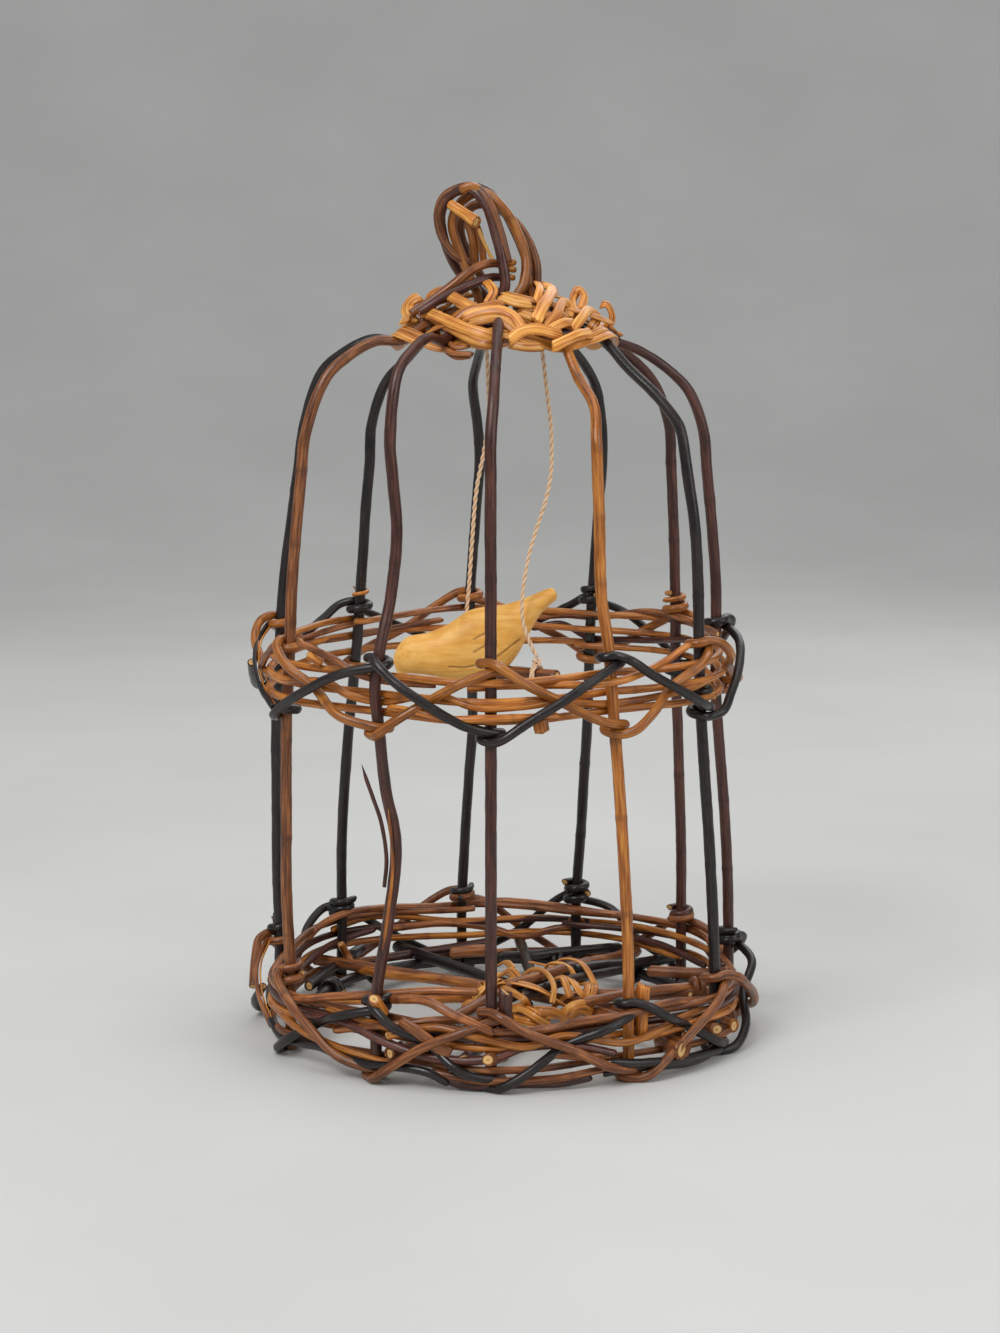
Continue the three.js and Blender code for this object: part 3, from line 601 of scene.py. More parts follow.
def addTwig(name, points, sizes, bark, seed, wobble=1, buds=1, tint=1, slant=(0, 0), step=twigLook["step"],
            body="cage", node=None, worn=False):
    # sizes is one radius, or [share of the length, radius] rows
    chance = random.Random(seed)
    look = twigLook
    route = smoothRoute(points, step)
    length = runsAlong(route)[-1]
    stride = length / (len(route) - 1)
    budPlaces, at = [], chance.uniform(*look["budFrom"])
    while at < length - 3:
        budPlaces.append((at, chance.uniform(0.5, 1)))
        at += chance.uniform(*look["budGap"])
    bent, radii, scars = [], [], []
    for i, point in enumerate(route):
        run = i * stride
        fade = min(1, run / look["fadeRun"], (length - run) / look["fadeRun"])
        stray = noise.noise_vector(Vector((run / look["wobbleRun"], seed * 3.71, 0.5)))
        bent.append(point + stray * look["wobble"] * wobble * fade)
        radius = between(sizes, i / (len(route) - 1), 1) if isinstance(sizes, list) else sizes
        bud = sum(size * math.exp(-((run - spot) / look["budHalf"]) ** 2) for spot, size in budPlaces)
        swell = look["swell"] * noise.noise(Vector((run / look["swellRun"], seed * 1.93, 7.1)))
        radii.append(radius * (1 + swell + look["budSize"] * buds * bud))
        scars.append(min(bud, 1) * look["scar"])
    # a small chamfer at each cut end
    for end, inner in ((0, 1), (-1, -2)):
        along = (bent[inner] - bent[end]).normalized() * look["chamfer"]
        place = 1 if end == 0 else len(bent) - 1
        bent.insert(place, bent[end] + along)
        radii.insert(place, radii[end])
        scars.insert(place, scars[end])
        radii[end] *= look["endShare"]
    rod = sweep(name, bent, radii, "twig")
    dress(rod, "twig", bent, radii, bark, seed, look["lumps"], scars, tint, slant, "cut")
    if worn:
        for vertex in rod.data.vertices:  # flat where it stands
            vertex.co.z = max(vertex.co.z, 0)
    return settle(rod, body, node)


splitLook = {"step": 1.8, "wobble": 0.35, "wobbleRun": 15, "fadeRun": 5, "swell": 0.12, "swellRun": 9,
             "taperRate": 8, "roll": 0.16, "rollRun": 12, "focus": Vector((0, 0, 262))}


def upsFor(place, facing):
    if facing == "crown":
        return (place - splitLook["focus"]).normalized()
    if facing == "band":
        return Vector((place.x, place.y, 0)).normalized()
    return Vector((0, 0, 1))


def makeSplit(name, points, half, finish, seed, facing="crown", kind="flat", wobble=1, tint=1, slant=(0, 0),
              ups=None, step=splitLook["step"], taper=(0.8, 0.8), lumps=0.1):
    # a flat or half-round split with its face turned outwards
    look = splitLook
    route = smoothRoute(points, step)
    count = len(route)
    length = runsAlong(route)[-1]
    stride = length / (count - 1)
    if ups:
        ups = smoothRoute([u * 100 for u in ups], 1)
        ups = [ups[round((len(ups) - 1) * i / (count - 1))].normalized() for i in range(count)]
    bent, radii, tilts = [], [], []
    for i, point in enumerate(route):
        run, share = i * stride, i / (count - 1)
        stray = noise.noise_vector(Vector((run / look["wobbleRun"], seed * 2.17, 3.3))) * look["wobble"] * wobble
        bent.append(point + stray * min(1, run / look["fadeRun"], (length - run) / look["fadeRun"]))
        end = min(1, taper[0] + share * look["taperRate"], taper[1] + (1 - share) * look["taperRate"])
        swell = look["swell"] * noise.noise(Vector((run / look["swellRun"], seed * 1.31, 1.7)))
        radii.append(half * end * (1 + swell))
    for i in range(count):
        along = (bent[min(i + 1, count - 1)] - bent[max(i - 1, 0)]).normalized()
        right = along.cross(Vector((0, 0, 1)))
        right = right.normalized() if right.length > 1e-4 else Vector((1, 0, 0))
        up = right.cross(along)
        wanted = ups[i] if ups else upsFor(bent[i], facing)
        roll = look["roll"] * wobble * noise.noise(Vector((i * stride / look["rollRun"], seed * 4.4, 9.2)))
        tilts.append(math.atan2(wanted.dot(right), wanted.dot(up)) + roll)
    rod = sweep(name, bent, radii, kind, tilts)
    return dress(rod, kind, bent, radii, finish, seed, lumps, [0] * count, tint, slant, finish)


def addSplit(name, points, half, finish, seed, facing="crown", kind="flat", wobble=1, node=None, **look):
    split = makeSplit(name, points, half, finish, seed, facing, kind, wobble, **look)
    return settle(split, "cage", node)


def joined(name, parts):
    bpy.ops.object.select_all(action="DESELECT")
    for part in parts:
        part.select_set(True)
    bpy.context.view_layer.objects.active = parts[0]
    bpy.ops.object.join()
    whole = bpy.context.object
    whole.name = name
    whole.data.name = name
    return whole


# swing cords come first: two twisted plies each, knotted at both ends

swing = {"x": -2.35, "y": 2.25, "turn": -33, "lowHalf": 20.7, "topHalf": 14.6, "topShift": 7.8, "barUnder": 24.5,
         "barRadius": 2, "barLeft": 11, "barMiddle": 5, "barRight": 4.4, "twineRadius": 1, "topKnot": 2.2,
         "lowKnot": 2, "perchRadius": 3.5, "perchThick": 3.45, "perchHeight": 166.6, "perchOver": 11,
         "left": [[-7.3, 5.4, 300], [-6.9, 5.2, 286], [-9.1, 6.8, 269], [-12.6, 9.2, 251],
                  [-14.6, 10.8, 229], [-16.4, 12.9, 204], [-17.8, 13.7, 190]],
         "right": [[19.2, -11.6, 297], [21.3, -12.8, 278], [21.2, -12.6, 260], [18.8, -11.4, 247],
                   [14.6, -9.6, 233.5], [11, -9.8, 220.5], [8.4, -10.2, 203], [8.4, -10.2, 193], [11, -9.8, 184]]}
twine = {"step": 0.55, "twistRun": 7.8, "lumps": 0.06, "full": 1.02}
knotLook = {"reach": 1.6, "loopSteps": 37, "loopRound": 40, "loopStart": 0.4, "loopSize": 3.1, "loopThick": 0.78,
            "turns": 2, "turnSteps": 48, "turnSpread": 1.9, "turnThick": 0.86, "turnIn": 0.9, "ballIn": 0.62,
            "ballSize": 0.98, "tails": 5, "tailThick": 0.24}

swing["barHeight"] = crownSurface(swing["barUnder"]) - cage["tipRadius"] - gap - swing["barRadius"]
swingAlong = Vector((math.cos(math.radians(swing["turn"])), math.sin(math.radians(swing["turn"])), 0))
swingAcross = Vector((-swingAlong.y, swingAlong.x, 0))
bothSides = (("left", -1), ("right", 1))


def alongSwing(along, height):
    return Vector((swing["x"], swing["y"], height)) + swingAlong * along


def knotReach(stick, ball):
    return stick + gap + swing["twineRadius"] + ball * knotLook["reach"] + gap


def makeTwine(name, points, radius, seed, step=twine["step"]):
    route = smoothRoute(points, step)
    tilts = [2 * math.pi * i * step / twine["twistRun"] for i in range(len(route))]
    radii = [radius] * len(route)
    rod = sweep(name, route, radii, "twine", tilts)
    dress(rod, "twine", route, radii, "twine", seed, twine["lumps"], [0] * len(route), 1, (0, 0), "twine")
    return rod, route


twineEnds = {}
for side, sign in bothSides:
    top = alongSwing(swing["topShift"] + sign * swing["topHalf"], swing["barHeight"])
    low = alongSwing(sign * swing["lowHalf"], swing["perchHeight"])
    twineEnds[side] = (top.copy(), low.copy())
    top.z -= knotReach(swing["barRadius"], swing["topKnot"])
    low.z += knotReach(swing["perchRadius"], swing["lowKnot"])
    points = [top] + [Vector(p) for p in swing[side]] + [low]
    cord, route = makeTwine("twine_cord_" + side, points, swing["twineRadius"] * twine["full"], 11 + sign)
    settle(cord, "cord_" + side, "swing_cord_" + side)
print("cords ready")


def knotLoop(centre, size, seed, turnBy):
    # an overhand knot drawn tight: the twine passes through itself
    points = []
    for k in range(knotLook["loopSteps"]):
        t = 2 * math.pi * k / knotLook["loopRound"] + knotLook["loopStart"]
        flat = Vector((math.sin(t) + 2 * math.sin(2 * t), -1.5 * math.sin(3 * t), math.cos(t) - 2 * math.cos(2 * t)))
        flat = flat * size / knotLook["loopSize"]
        points.append(centre + swingAlong * (flat.x * math.cos(turnBy) - flat.y * math.sin(turnBy))
                      + swingAcross * (flat.x * math.sin(turnBy) + flat.y * math.cos(turnBy))
                      + Vector((0, 0, flat.z)))
    return makeTwine("knot", points, knotLook["loopThick"], seed, 0.5)[0]


def twineKnot(name, body, centre, stick, ball, way, seed):
    # two turns round the stick, the knot over it (way 1) or under it (way -1) and a short frayed tail
    loopRadius = stick + gap + swing["twineRadius"] * knotLook["turnIn"]
    turns = []
    steps = knotLook["turnSteps"]
    for k in range(steps + 1):
        turn = 2 * math.pi * knotLook["turns"] * k / steps + (math.pi / 2 if way < 0 else -math.pi / 2)
        shift = (k / steps - 0.5) * knotLook["turnSpread"]
        turns.append(centre + swingAlong * shift + swingAcross * loopRadius * math.cos(turn)
                     + Vector((0, 0, loopRadius * math.sin(turn))))
    parts = [makeTwine("turns", turns, knotLook["turnThick"], seed, 0.6)[0]]
    ballAt = centre + Vector((0, 0, way * (loopRadius + ball * knotLook["ballIn"])))
    parts.append(knotLoop(ballAt, ball * knotLook["ballSize"], seed + 1, 0.4 * seed))
    chance = random.Random(seed)
    for k in range(knotLook["tails"]):
        lean = swingAlong * chance.uniform(-0.5, 0.9) + swingAcross * chance.uniform(-1, 0.2)
        tail = [ballAt, ballAt + lean * 1.5 + Vector((0, 0, way * 0.5)),
                ballAt + lean * chance.uniform(2.6, 3.6) + Vector((0, 0, -1.2))]
        parts.append(makeTwine("tail", tail, knotLook["tailThick"], seed + 10 + k, 0.5)[0])
    settle(joined("twine_" + name, parts), body, "swing_" + name)


for side, sign in bothSides:
    top, low = twineEnds[side]
    twineKnot("knot_top_" + side, "hanger", top, swing["barRadius"], swing["topKnot"], -1, 21 + sign)
    twineKnot("knot_low_" + side, "perch", low, swing["perchRadius"], swing["lowKnot"], 1, 31 + sign)

barPlaces = [swing["topShift"] - swing["topHalf"] - swing["barLeft"], swing["barMiddle"],
             swing["topShift"] + swing["topHalf"] + swing["barRight"]]
addTwig("twig_swing_bar", [alongSwing(along, swing["barHeight"]) for along in barPlaces], swing["barRadius"],
        "brown", 41, wobble=0.4, buds=0.5, node="swing_bar")
perchEnds = [alongSwing(sign * (swing["lowHalf"] + swing["perchOver"]), swing["perchHeight"]) for sign in (-1, 1)]
addTwig("twig_perch", [perchEnds[0], (perchEnds[0] + perchEnds[1]) / 2, perchEnds[1]], swing["perchThick"],
        "brown", 42, wobble=0.2, buds=0.25, tint=0.85, body="perch", node="swing_perch")
print("swing ready")


# bird: a round of rings from beak to tail, [x, height over the perch, tilt, half depth, half width]

bird = {
    "y": 0.5, "segments": 48, "rings": 64, "smooth": 2, "thinnest": 0.05,
    "shape": [[-48.2, -2, 58, 0.1, 0.1], [-48.2, -0.4, 55, 1.65, 1.3], [-47.8, 2.6, 47, 4.4, 3.8],
              [-45.4, 5.3, 36, 7.2, 6.6], [-40.7, 7.9, 24, 9.6, 8.4], [-33.1, 8.4, 11, 10.4, 9],
              [-24.8, 9.8, 5, 12.8, 9.5], [-15.8, 12.9, 5, 15.6, 9.8], [-6, 15, 14, 16, 9.5],
              [1.8, 19.3, 17, 12.6, 8.3], [7.9, 24.7, 18, 8.8, 6.5], [13.5, 30.4, 23, 5.4, 5.3],
              [18.7, 34.3, 24, 3.9, 4.7], [23.1, 36.7, 22, 2.9, 3.8], [24.2, 37, 22, 0.2, 0.3]],
    # the wing's cuts, by where they are seen
    "cuts": [[(449, 667), (464, 668), (485, 664), (500, 655), (520, 640)], [(474, 652), (486, 645), (494, 638)],
             [(474, 639), (485, 633)]],
    # cutShade: how dark the painted shade in the cuts is
    "cutFace": 8.5, "cutDepth": 0.5, "cutHalf": 0.42, "cutShade": 0.8, "cutFrom": 1.5, "cutFade": 2,
    "carveDepth": 0.08, "carveRun": 9,
}


def ringAt(table, share):
    # the ring at a share of the way from beak to tail, on a smooth curve through the rows
    spot = share * (len(table) - 1)
    i = min(int(spot), len(table) - 2)
    t = spot - i
    rows = [table[max(i - 1, 0)], table[i], table[i + 1], table[min(i + 2, len(table) - 1)]]
    return [0.5 * (2 * b + (c - a) * t + (2 * a - 5 * b + 4 * c - d) * t * t + (3 * b - a - 3 * c + d) * t ** 3)
            for a, b, c, d in zip(*rows)]


def distanceTo(line, x, z):
    best = math.inf
    for a, b in zip(line, line[1:]):
        span = Vector((b.x - a.x, b.z - a.z))
        share = min(max(((x - a.x) * span.x + (z - a.z) * span.y) / span.length_squared, 0), 1)
        best = min(best, math.hypot(x - a.x - span.x * share, z - a.z - span.y * share))
    return best


def shapeBird(mesh):
    # the sphere's rings take the places and sizes of the rows
    for vertex in mesh.vertices:
        share = math.acos(min(max(vertex.co.z, -1), 1)) / math.pi
        turn = math.atan2(vertex.co.y, vertex.co.x)
        x, z, tilt, depth, width = ringAt(bird["shape"], share)
        tilt = math.radians(tilt)
        up = side = 0
        if share not in (0, 1):
            up = max(depth, bird["thinnest"]) * math.cos(turn)
            side = -max(width, bird["thinnest"]) * math.sin(turn)
        height = swing["perchHeight"] + z + up * math.cos(tilt)
        vertex.co = Vector((x - up * math.sin(tilt), bird["y"] + side, height)) * mm


def carveBird(mesh):
    # soft facets of the knife, and the wing's cuts on both sides, with the painted shade they get
    lines = [[atDepth(x, y, bird["y"] - bird["cutFace"]) for x, y in cut] for cut in bird["cuts"]]
    carved = []
    normals = [vertex.normal.copy() for vertex in mesh.vertices]
    for vertex, normal in zip(mesh.vertices, normals):
        x, y, z = vertex.co / mm
        facet = noise.noise(Vector((x, y, z)) / bird["carveRun"]) * bird["carveDepth"]
        depth = 0
        for line in lines:
            far = distanceTo(line, x, z)
            if far < 3 * bird["cutHalf"]:
                depth = max(depth, math.exp(-(far / bird["cutHalf"]) ** 2))
        depth *= min(1, max(0, (abs(y - bird["y"]) - bird["cutFrom"]) / bird["cutFade"]))
        # the share of painted shade at this place in a cut
        carved.append(depth * bird["cutShade"])
        vertex.co += normal * (facet - depth * bird["cutDepth"]) * mm
    setValues(mesh, "carved", carved)


def makeBird():
    bpy.ops.object.select_all(action="DESELECT")
    bpy.ops.mesh.primitive_uv_sphere_add(segments=bird["segments"], ring_count=bird["rings"], radius=1)
    body = bpy.context.object
    body.name = "carved_bird_painted"
    shapeBird(body.data)
    bm = bmesh.new()
    bm.from_mesh(body.data)
    bmesh.ops.recalc_face_normals(bm, faces=bm.faces)
    bm.to_mesh(body.data)
    bm.free()
    bpy.ops.object.modifier_add(type="SUBSURF")
    body.modifiers[-1].levels = bird["smooth"]
    body.modifiers[-1].render_levels = bird["smooth"]
    bpy.ops.object.modifier_apply(modifier=body.modifiers[-1].name)
    bpy.ops.object.shade_smooth()
    carveBird(body.data)
    while body.data.uv_layers:
        body.data.uv_layers.remove(body.data.uv_layers[0])
    body.data.materials.append(finishes["paint"])
    return body


settle(makeBird(), "perch", "carved_bird")
print("bird ready")


# uprights: stems that bend in to the crown, and the sliver that stands off the split one

stems = {"inner": crown["legCircle"] + cage["strandRadius"] + 2 * gap, "sizes": [[0, 2.55], [0.72, 2.55], [1, 2.05]],
         "frontEnd": [(74, 307.3), (66, 314), (57, 321), (49, 326), (43, 329)], "sliverHalf": 1.05}

for index, upright in enumerate(uprights):
    points = [uprightPoint(index, height) for height in cage["stems"]]
    shoulder = math.hypot(points[-1].x, points[-1].y)
    angle = math.radians(upright.get("spoke", upright["angle"]))
    for i, radius in enumerate(cage["spokeRadii"] + [upright.get("tip", stems["inner"])]):
        if radius > shoulder:
            continue
        height = crownSurface(radius)
        if i < len(cage["bendHeights"]):
            height = cage["bendHeights"][i] + cage["liftShares"][i] * upright["lift"]
        points.append(polar(angle, radius, height))
    addTwig("twig_" + upright["node"], points, stems["sizes"], upright["bark"], 100 + index, wobble=0.6,
            tint=upright["tint"], slant=(0.5, 1.2), node=upright["node"])

# the end of the front upright shows over the rim of the crown
frontAngle = math.radians(uprights[0]["angle"])
endPoints = [polar(frontAngle, radius, height) for radius, height in stems["frontEnd"]]
addTwig("twig_upright_front_end", endPoints, [[0, 2.2], [1, 2.5]], "darkRed", 118, wobble=0.3, buds=0.3, step=1.4,
        tint=uprights[0]["tint"], slant=(0, 1))

splitIndex = uprightCount - 1
sliverOff = cage["uprightRadius"] + 0.9 + gap
sliverRows = [(-sliverOff, 0, 84), (-sliverOff, 0.4, 96), (-5, 0.8, 112), (-6.5, 1.5, 123), (-8.5, 3, 138)]
addSplit("sliver_upright_split", [besideUpright(splitIndex, *row) for row in sliverRows], stems["sliverHalf"],
         "darkRed", 131, "band", "half", 0.4, node="upright_split_sliver", taper=(0.9, 0.12))
print("uprights ready")


# base band and mid ring

weave = {"sizes": [[0, 1.6], [0.5, 1.85], [1, 1.5]], "lapSide": 0.7,
         "base": ("brown", "orange", "darkRed", "brown"), "ringTints": (1, 1.1, 0.95)}
# shares of the bay at which an arm leaves a wrap, crosses the weavers and comes to the next one
zigzag = {"sizes": [[0, 2.15], [1, 2]], "wrapSteps": 6, "start": 9, "drop": 6, "leave": 0.08, "leaveIn": 0.6,
          "leaveRise": 0.4, "away": 0.24, "middle": 0.5, "lastMiddle": 0.42, "arrive": 0.78, "arriveIn": 0.2,
          "orangeTint": 0.76}

weaverOffset = cage["uprightRadius"] + cage["weaverRadius"] + 2 * gap
bandReach = 2 * cage["zigzagRadius"] + gap / 2 + cage["weaverRadius"] + gap
lowestWeaver = cage["bandBottom"] + bandReach
floorHeight = lowestWeaver + cage["weaverRadius"] + gap + cage["stickRadius"]
secondWeaver = floorHeight + cage["stickRadius"] + gap + cage["weaverRadius"]
topWeaver = cage["bandTop"] - bandReach - gap


def ringRise(point):
    return cage["ringLean"] * point.y


def baseRise(point):
    share = (point.z - secondWeaver) / (topWeaver - secondWeaver)
    return cage["baseLean"] * min(max(share, 0), 1) * point.y


def raised(makePoint, height, rise):
    return makePoint(height + rise(makePoint(height)))


def raisedBay(bay, share, outward, height, rise):
    return raised(lambda level: bayPoint(bay, share, outward, level), height, rise)


def weaverPoints(start, firstSide, height, rise):
    lapOffset = firstSide * weave["lapSide"] * weaverOffset
    rows = [(start + uprightCount - 1, 1 - cage["weaverLap"], lapOffset)]
    for visit in range(uprightCount + 1):
        side = firstSide if visit % 2 == 0 else -firstSide
        rows.append((start + visit, 0, side * weaverOffset))
        if visit < uprightCount:
            rows.append((start + visit, 1 / 3, side * weaverOffset / 2))
            rows.append((start + visit, 2 / 3, -side * weaverOffset / 2))
    rows.append((start, cage["weaverLap"], -lapOffset))
    return [raisedBay(*row, height, rise) for row in rows]


def zigzagPoints(low, high, rise, firstEnd, crossing):
    look, points = zigzag, []
    wrapRadius = cage["uprightRadius"] + cage["zigzagRadius"] + gap
    wrapRise = cage["zigzagRadius"] + gap / 2
    armOffset = weaverOffset + cage["weaverRadius"] + cage["zigzagRadius"] + 2 * gap
    for visit in range(uprightCount):
        index = look["start"] + visit
        end = firstEnd if visit % 2 == 0 else -firstEnd
        middle = high if end > 0 else low
        away = middle - end * look["drop"]
        if visit:
            points.append(raisedBay(index - 1, look["arrive"], armOffset - look["arriveIn"], away, rise))
        for turn in range(look["wrapSteps"] + 1):
            angle = 2 * math.pi * turn / look["wrapSteps"]
            height = middle + end * wrapRise * (2 * turn / look["wrapSteps"] - 1)
            along, outward = wrapRadius * math.sin(angle), wrapRadius * math.cos(angle)
            points.append(raised(lambda level: besideUpright(index, along, outward, level), height, rise))
        across = look["middle"] if visit < uprightCount - 1 else look["lastMiddle"]
        points += [
            raisedBay(index, look["leave"], armOffset - look["leaveIn"], middle + end * look["leaveRise"], rise),
            raisedBay(index, look["away"], armOffset, away, rise),
            raisedBay(index, across, crossing, (low + high) / 2, rise)]
    return points


baseHeights = [lowestWeaver, secondWeaver, (secondWeaver + topWeaver) / 2, topWeaver]
for i, (bark, height) in enumerate(zip(weave["base"], baseHeights)):
    points = weaverPoints(3 + i, 1 if i % 2 == 0 else -1, height, baseRise)
    addTwig(f"twig_base_weaver_{i + 1}", points, weave["sizes"], bark, 140 + i, wobble=1.2,
            node=f"base_weaver_{i + 1}")

ringMiddle = (cage["ringBottom"] + cage["ringTop"]) / 2
for step in (-1, 0, 1):
    height = ringMiddle + step * cage["ringPitch"]
    addTwig(f"twig_ring_weaver_{step + 2}", weaverPoints(6 + step, -1 if step == 0 else 1, height, ringRise),
            weave["sizes"], "orange", 150 + step, wobble=1.3, tint=weave["ringTints"][step + 1],
            node=f"ring_weaver_{step + 2}")

innerCrossing = cage["weaverRadius"] + gap + cage["zigzagRadius"] + 0.8
outerCrossing = innerCrossing + 2 * cage["zigzagRadius"] + gap + 0.6
baseEnds, ringEnds = (cage["bandBottom"], cage["bandTop"]), (cage["ringBottom"], cage["ringTop"])
zigzags = [("base_zigzag_dark", baseEnds, baseRise, -1, innerCrossing, "black"),
           ("base_zigzag_brown", baseEnds, baseRise, 1, outerCrossing, "brown"),
           ("ring_zigzag_orange", ringEnds, ringRise, 1, innerCrossing, "orange"),
           ("ring_zigzag_black", ringEnds, ringRise, -1, outerCrossing, "black")]
for i, (node, ends, rise, firstEnd, crossing, bark) in enumerate(zigzags):
    addTwig("twig_" + node, zigzagPoints(*ends, rise, firstEnd, crossing), zigzag["sizes"], bark, 160 + i,
            wobble=0.5, buds=0.7, tint=zigzag["orangeTint"] if bark == "orange" else 1, step=1.5, node=node,
            worn=node.startswith("base"))
print("bands ready")


# floor

floor = {"slath": Vector((16, -3, floorHeight)), "slathStart": 17.5, "ringRadii": [23, 30],
         "extraRadii": [26.5, 19.5], "splitHalf": 1.625, "splitThick": 0.9, "out": 7, "inside": 2, "level": -12,
         "levelHalf": 2.4, "pairMore": 0.8, "crossingMore": 4, "meetingTurn": 0.1, "hoopRing": 89, "hoopFrom": 66,
         "hoopTurn": 224, "hoopSteps": 24}
# where the sticks end: the bay, and the share of it
places = {"frontLeft": (10, 0.2), "frontMiddle": (10, 0.5), "frontRight": (10, 0.8), "rightFront": (1, 0.5),
          "right": (1, 0.81), "rightBack": (2, 0.8), "backRight": (4, 0.2), "back": (4, 0.5),
          "backMiddle": (5, 0.5), "backLeft": (6, 0.5), "left": (7, 0.2), "leftFront": (8, 0.5)}
# node, place, how far it stands off the crossing, outer end, bark
sticks = [("floor_stick_left", "leftFront", 1, "inside", "orange"),
          ("floor_stick_right", "rightBack", 1, "out", "brown"),
          ("floor_stick_front", "frontRight", 1, "out", "darkRed"),
          ("floor_stick_back", "backMiddle", 1, "inside", "black"),
          ("floor_stick_front_right", "rightFront", 2, "inside", "brown"),
          ("floor_stick_back_left", "backLeft", 1, "inside", "black")]
stick = cage["stickRadius"]
overHeight = floorHeight + 2 * stick + gap
slathMiddle = Vector((floor["slath"].x, floor["slath"].y, 0))


def floorEnd(place, outward):
    return bayPoint(*place, outward, floorHeight)


pairAlong = (floorEnd((4, 0.35), 0) - floorEnd((10, 0.35), 0)).normalized()
pairSide = Vector((pairAlong.y, -pairAlong.x, 0))
pairStep = stick + gap / 2
crossingHalf = floor["ringRadii"][1] + floor["crossingMore"]


def overStick(node, side, front, frontEnd, back, backEnd, bark, seed):
    middle = slathMiddle + Vector((0, 0, overHeight)) + pairSide * pairStep * side
    points = [floorEnd(places[front], floor[frontEnd]), floorEnd(places[front], floor["level"]),
              middle - pairAlong * crossingHalf, middle, middle + pairAlong * crossingHalf,
              floorEnd(places[back], floor["level"]), floorEnd(places[back], floor[backEnd])]
    addTwig("twig_" + node, points, stick, bark, seed, wobble=0.5, slant=(1.5, 1.5), node=node)


overStick("floor_stick_over_left", -1, "frontLeft", "out", "back", "inside", "brown", 171)
overStick("floor_stick_over_right", 1, "frontMiddle", "inside", "backRight", "out", "black", 172)
through = [floorEnd(places["right"], floor["out"]), floor["slath"], floorEnd(places["left"], floor["out"])]
addTwig("twig_floor_stick_through", through, stick, "brown", 173, wobble=0.5, slant=(1.5, 1.5),
        node="floor_stick_through")
for i, (node, place, steps, outward, bark) in enumerate(sticks):
    end = floorEnd(places[place], floor[outward])
    along = (end - floor["slath"]).normalized()
    start = floor["slath"] + along * floor["slathStart"] * steps
    addTwig("twig_" + node, [start, (start * 2 + end) / 3, (start + end * 2) / 3, end], stick, bark, 174 + i,
            wobble=0.5, slant=(1, 1.5), node=node)


def armAngle(place):
    end = floorEnd(places[place], 0) - floor["slath"]
    return (math.atan2(end.x, -end.y) + 2 * math.pi) % (2 * math.pi)


# arms of the crossing: first and last angle, half width, underside and top
pairLevel = pairStep + floor["levelHalf"] + floor["pairMore"]
pairBack = math.atan2(pairAlong.x, -pairAlong.y)
pairAngle = pairBack + math.pi
lowUnder, lowOver = floorHeight - stick, floorHeight + stick
highUnder, highOver = overHeight - stick, overHeight + stick
levelArms = [(armAngle(place), armAngle(place), floor["levelHalf"], lowUnder, lowOver)
             for place in ("right", "rightBack", "backMiddle", "backLeft", "left", "leftFront")]
arms = [(pairAngle - 2 * math.pi, armAngle("frontRight") - 2 * math.pi, pairLevel, lowUnder, highOver)]
arms += levelArms[:2] + [(pairBack, pairBack, pairLevel, highUnder, highOver)] + levelArms[2:]
ringMeeting = (armAngle("leftFront") + pairAngle) / 2 + floor["meetingTurn"]


def slathRing(name, radius, firstSide, seed, node=None):
    # a split woven over and under the arms
    away = gap + floor["splitThick"]
    spots = [(ringMeeting - 2 * math.pi + gap / radius, floorHeight)]
    for i, (start, end, width, lowest, highest) in enumerate(arms):
        over = firstSide > 0 if i % 2 == 0 else firstSide < 0
        height = highest + away if over else lowest - away
        spots += [(start - width / radius, height), (end + width / radius, height)]
    spots.append((ringMeeting, floorHeight))
    points = [polar(angle, radius, height) + slathMiddle for angle, height in spots]
    addSplit(name, points, floor["splitHalf"], "split", seed, "floor", "flat", 0.5, node=node)


slathRing("split_floor_ring_inner", floor["ringRadii"][0], 1, 181, "floor_ring_inner")
slathRing("split_floor_ring_outer", floor["ringRadii"][1], -1, 182, "floor_ring_outer")
slathRing("split_floor_ring_extra", floor["extraRadii"][0], 1, 183)
slathRing("split_floor_ring_small", floor["extraRadii"][1], -1, 184)

hoopHeight = floorHeight - (stick + cage["hoopRadius"]) * flatShare - gap
hoopAngles = [math.radians(floor["hoopFrom"] + floor["hoopTurn"] * i / floor["hoopSteps"])
              for i in range(floor["hoopSteps"] + 1)]
addTwig("twig_floor_hoop", [polar(angle, floor["hoopRing"], hoopHeight) for angle in hoopAngles],
        cage["hoopRadius"], "black", 185, wobble=0.6, slant=(1.5, 1.5), node="floor_hoop")
print("floor ready")


# crown: splits woven over and under the uprights' tips, each of two strips side by side

crownLook = {"rim": 1, "ringTints": (0.9, 0.8), "ringLift": 0.2, "splitTints": (1, 0.85), "splitLift": 0.3,
             "splitSteps": 6, "spreadAt": 32, "over": 0.5, "lumps": 0.14}
ringOver = cage["tipRadius"] + crown["splitThick"] + gap + crownLook["over"]
splitAbove = ringOver + 2 * crown["splitThick"] * flatShare + gap


def spokeAngle(visit):
    turns, index = divmod(visit, uprightCount)
    return math.radians(uprights[index].get("spoke", uprights[index]["angle"]) + 360 * turns)


